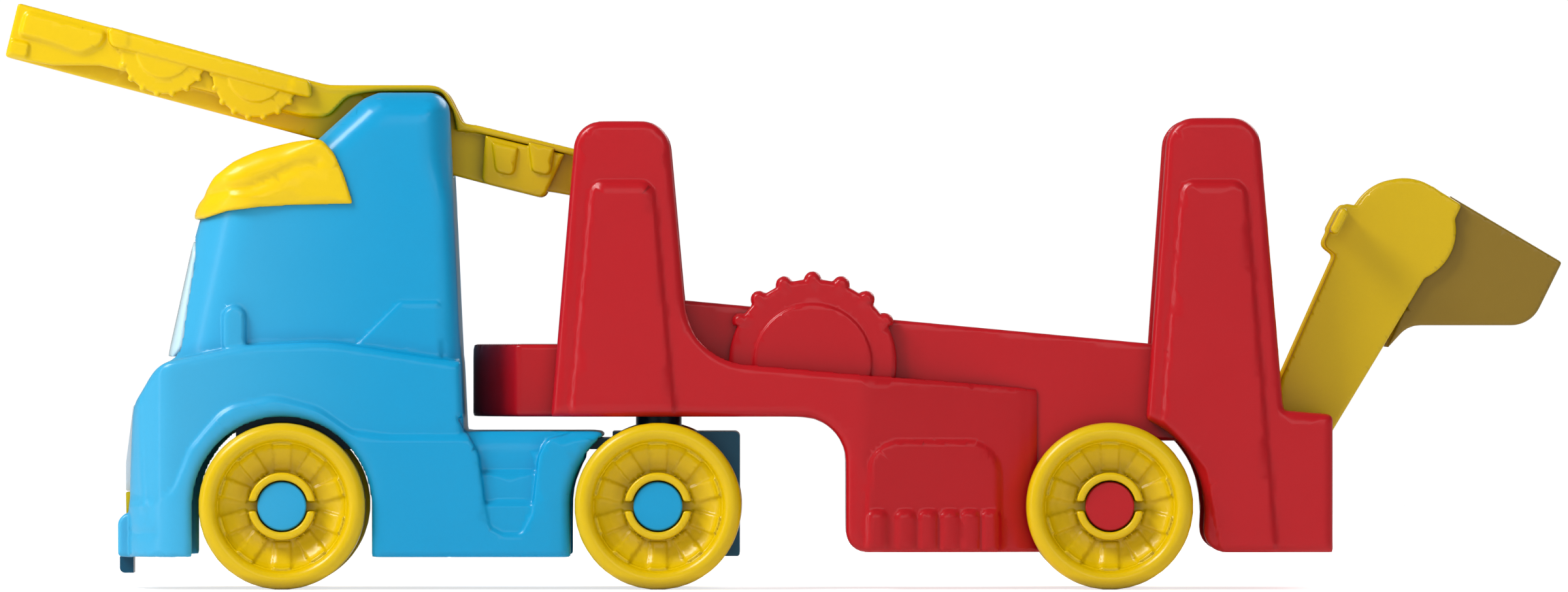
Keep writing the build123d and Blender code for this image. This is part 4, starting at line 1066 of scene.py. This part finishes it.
class TRUCK_OT_discs(bpy.types.Operator):
    """Knobbed half discs beside the bed"""

    bl_idname = "truck.discs"
    bl_label = "Knobbed discs"

    def execute(self, context):
        surface = cast(disc_body, *room("disc_left"), detail_step())
        pair("knobbed_disc", surface, materials["red"], "trailer", "red_body", "disc")
        return {"FINISHED"}


class TRUCK_OT_loader(bpy.types.Operator):
    """Loader arms, scoop and slide"""

    bl_idname = "truck.loader"
    bl_label = "Loader"

    def execute(self, context):
        arm = cast(arm_body, *room("loader_arm_left"), detail_step())
        pair("grip_arm", arm, materials["loader"], "loader", "yellow_parts", "loader_arm")
        scoop = cast(scoop_body, *room("loader_scoop"), detail_step(), centred=True)
        # The scoop takes the brown yellow of painted shade.
        place("sand_scoop", scoop, materials["ochre"], "loader", "yellow_parts", "loader_scoop")
        slide = cast(slide_body, *room("loader_slide"), detail_step(), centred=True)
        place("sand_slide", slide, materials["loader"], "loader", "yellow_parts", "loader_slide")
        return {"FINISHED"}


class TRUCK_OT_chute(bpy.types.Operator):
    """Chute with its rim, side rails, half discs and clips"""

    bl_idname = "truck.chute"
    bl_label = "Chute"

    def execute(self, context):
        channel = cast(chute_channel, *room("chute_trough"), detail_step(), centred=True)
        place("sand_chute", channel, materials["chute"], "chute", "yellow_parts", "chute_trough")
        side = cast(chute_side, *room("chute_side_left"), detail_step() * 0.75)
        pair("chute_rail", side, materials["chute"], "chute", "yellow_parts", "chute_side")
        clip = cast(clip_body, *room("chute_clip_left"), detail_step() * 0.75)
        pair("chute_catch", clip, materials["chute"], "chute", "yellow_parts", "chute_clip")
        return {"FINISHED"}


def area_light(name, place_at, aim, size, power):
    """Soft square light, out of the camera's sight."""
    data = bpy.data.lights.new(name, "AREA")
    data.shape = "RECTANGLE"
    data.size, data.size_y = size
    data.energy = power
    lamp = bpy.data.objects.new(name, data)
    lamp.location = place_at
    lamp.rotation_euler = (Vector(aim) - Vector(place_at)).to_track_quat("-Z", "Y").to_euler()
    lamp.visible_camera = False
    bpy.context.scene.collection.objects.link(lamp)


class TRUCK_OT_stage(bpy.types.Operator):
    """Pale floor, soft lights and the camera"""

    bl_idname = "truck.stage"
    bl_label = "Stage"

    def execute(self, context):
        scene = context.scene
        scene.view_settings.view_transform = "Standard"
        world = bpy.data.worlds.new("studio")
        world.use_nodes = True
        seen = add_node(world.node_tree, "LightPath").outputs["Is Camera Ray"]
        sky = calc(world.node_tree, "MULTIPLY_ADD", seen, 0.76, 0.26)
        background = world.node_tree.nodes["Background"]
        background.inputs["Color"].default_value = (1, 1, 1, 1)
        world.node_tree.links.new(sky, background.inputs["Strength"])
        scene.world = world
        mesh = bpy.data.meshes.new("studio_floor")
        reach = 4.0
        corners = [(-reach, -reach, 0), (reach, -reach, 0), (reach, reach, 0), (-reach, reach, 0)]
        mesh.from_pydata(corners, [], [(0, 1, 2, 3)])
        floor = bpy.data.objects.new("studio_floor", mesh)
        scene.collection.objects.link(floor)
        paper = bpy.data.materials.new("studio_paper")
        paper.use_nodes = True
        shader = paper.node_tree.nodes["Principled BSDF"]
        tint = noise(paper.node_tree, 3, 2)
        grey = spread(paper.node_tree, tint, 0.3, 0.7, 0.93, 0.95)
        colour = add_node(paper.node_tree, "CombineColor", i0=grey, i1=grey, i2=grey).outputs[0]
        paper.node_tree.links.new(colour, shader.inputs["Base Color"])
        shader.inputs["Roughness"].default_value = 0.9
        shader.inputs["Emission Color"].default_value = (1, 1, 1, 1)
        seen = add_node(paper.node_tree, "LightPath").outputs["Is Camera Ray"]
        glow = calc(paper.node_tree, "MULTIPLY_ADD", seen, 0.62, 0.1)
        paper.node_tree.links.new(glow, shader.inputs["Emission Strength"])
        mesh.materials.append(paper)
        area_light("key_light", (-1.6, -1.0, 1.9), (0, 0, 0.1), (0.9, 0.9), 47)
        area_light("edge_light", (-2.3, -1.0, 0.5), (0, 0, 0.1), (0.35, 1.3), 5)
        area_light("front_light", (0.5, -2.6, 0.9), (0, 0, 0.1), (1.8, 1.0), 9)
        area_light("back_light", (1.4, 1.8, 1.5), (0, 0, 0.1), (1.8, 1.2), 26)
        lens = scene.truck_sizes.lens
        view = bpy.data.cameras.new("side_view")
        view.lens = lens
        near_side = cad_bounds[0][1]
        view_width = 0.6
        distance = view_width * lens / view.sensor_width
        camera = bpy.data.objects.new("side_view", view)
        camera.location = (0.00025, near_side - distance, 0.1125)
        camera.rotation_euler = (math.pi / 2, 0, 0)
        view.clip_end = 3 * distance
        scene.collection.objects.link(camera)
        scene.camera = camera
        return {"FINISHED"}


operators = (TRUCK_OT_cab, TRUCK_OT_visor, TRUCK_OT_windscreen, TRUCK_OT_fixings, TRUCK_OT_wheels,
             TRUCK_OT_bed, TRUCK_OT_sides, TRUCK_OT_discs, TRUCK_OT_loader, TRUCK_OT_chute,
             TRUCK_OT_stage)


class TRUCK_PT_panel(bpy.types.Panel):
    """Sizes, colours with their painted light, and pieces of the toy truck"""

    bl_idname = "TRUCK_PT_panel"
    bl_label = "Toy truck"
    bl_space_type = "VIEW_3D"
    bl_region_type = "UI"
    bl_category = "Toy truck"

    def draw(self, context):
        for settings in (context.scene.truck_sizes, context.scene.truck_dyes):
            for name in settings.__annotations__:
                self.layout.prop(settings, name)
        for operator in operators:
            self.layout.operator(operator.bl_idname)


classes = (TruckColoursAndPaintedLight, TruckSizes, *operators, TRUCK_PT_panel)


def register():
    for cls in classes:
        bpy.utils.register_class(cls)
    bpy.types.Scene.truck_dyes = bpy.props.PointerProperty(type=TruckColoursAndPaintedLight)
    bpy.types.Scene.truck_sizes = bpy.props.PointerProperty(type=TruckSizes)


def unregister():
    del bpy.types.Scene.truck_sizes
    del bpy.types.Scene.truck_dyes
    for cls in reversed(classes):
        bpy.utils.unregister_class(cls)


def main():
    """Builds every piece in order."""
    register()
    build_materials()
    for operator in operators:
        group, name = operator.bl_idname.split(".")
        getattr(getattr(bpy.ops, group), name)()


if __name__ == "__main__":
    main()
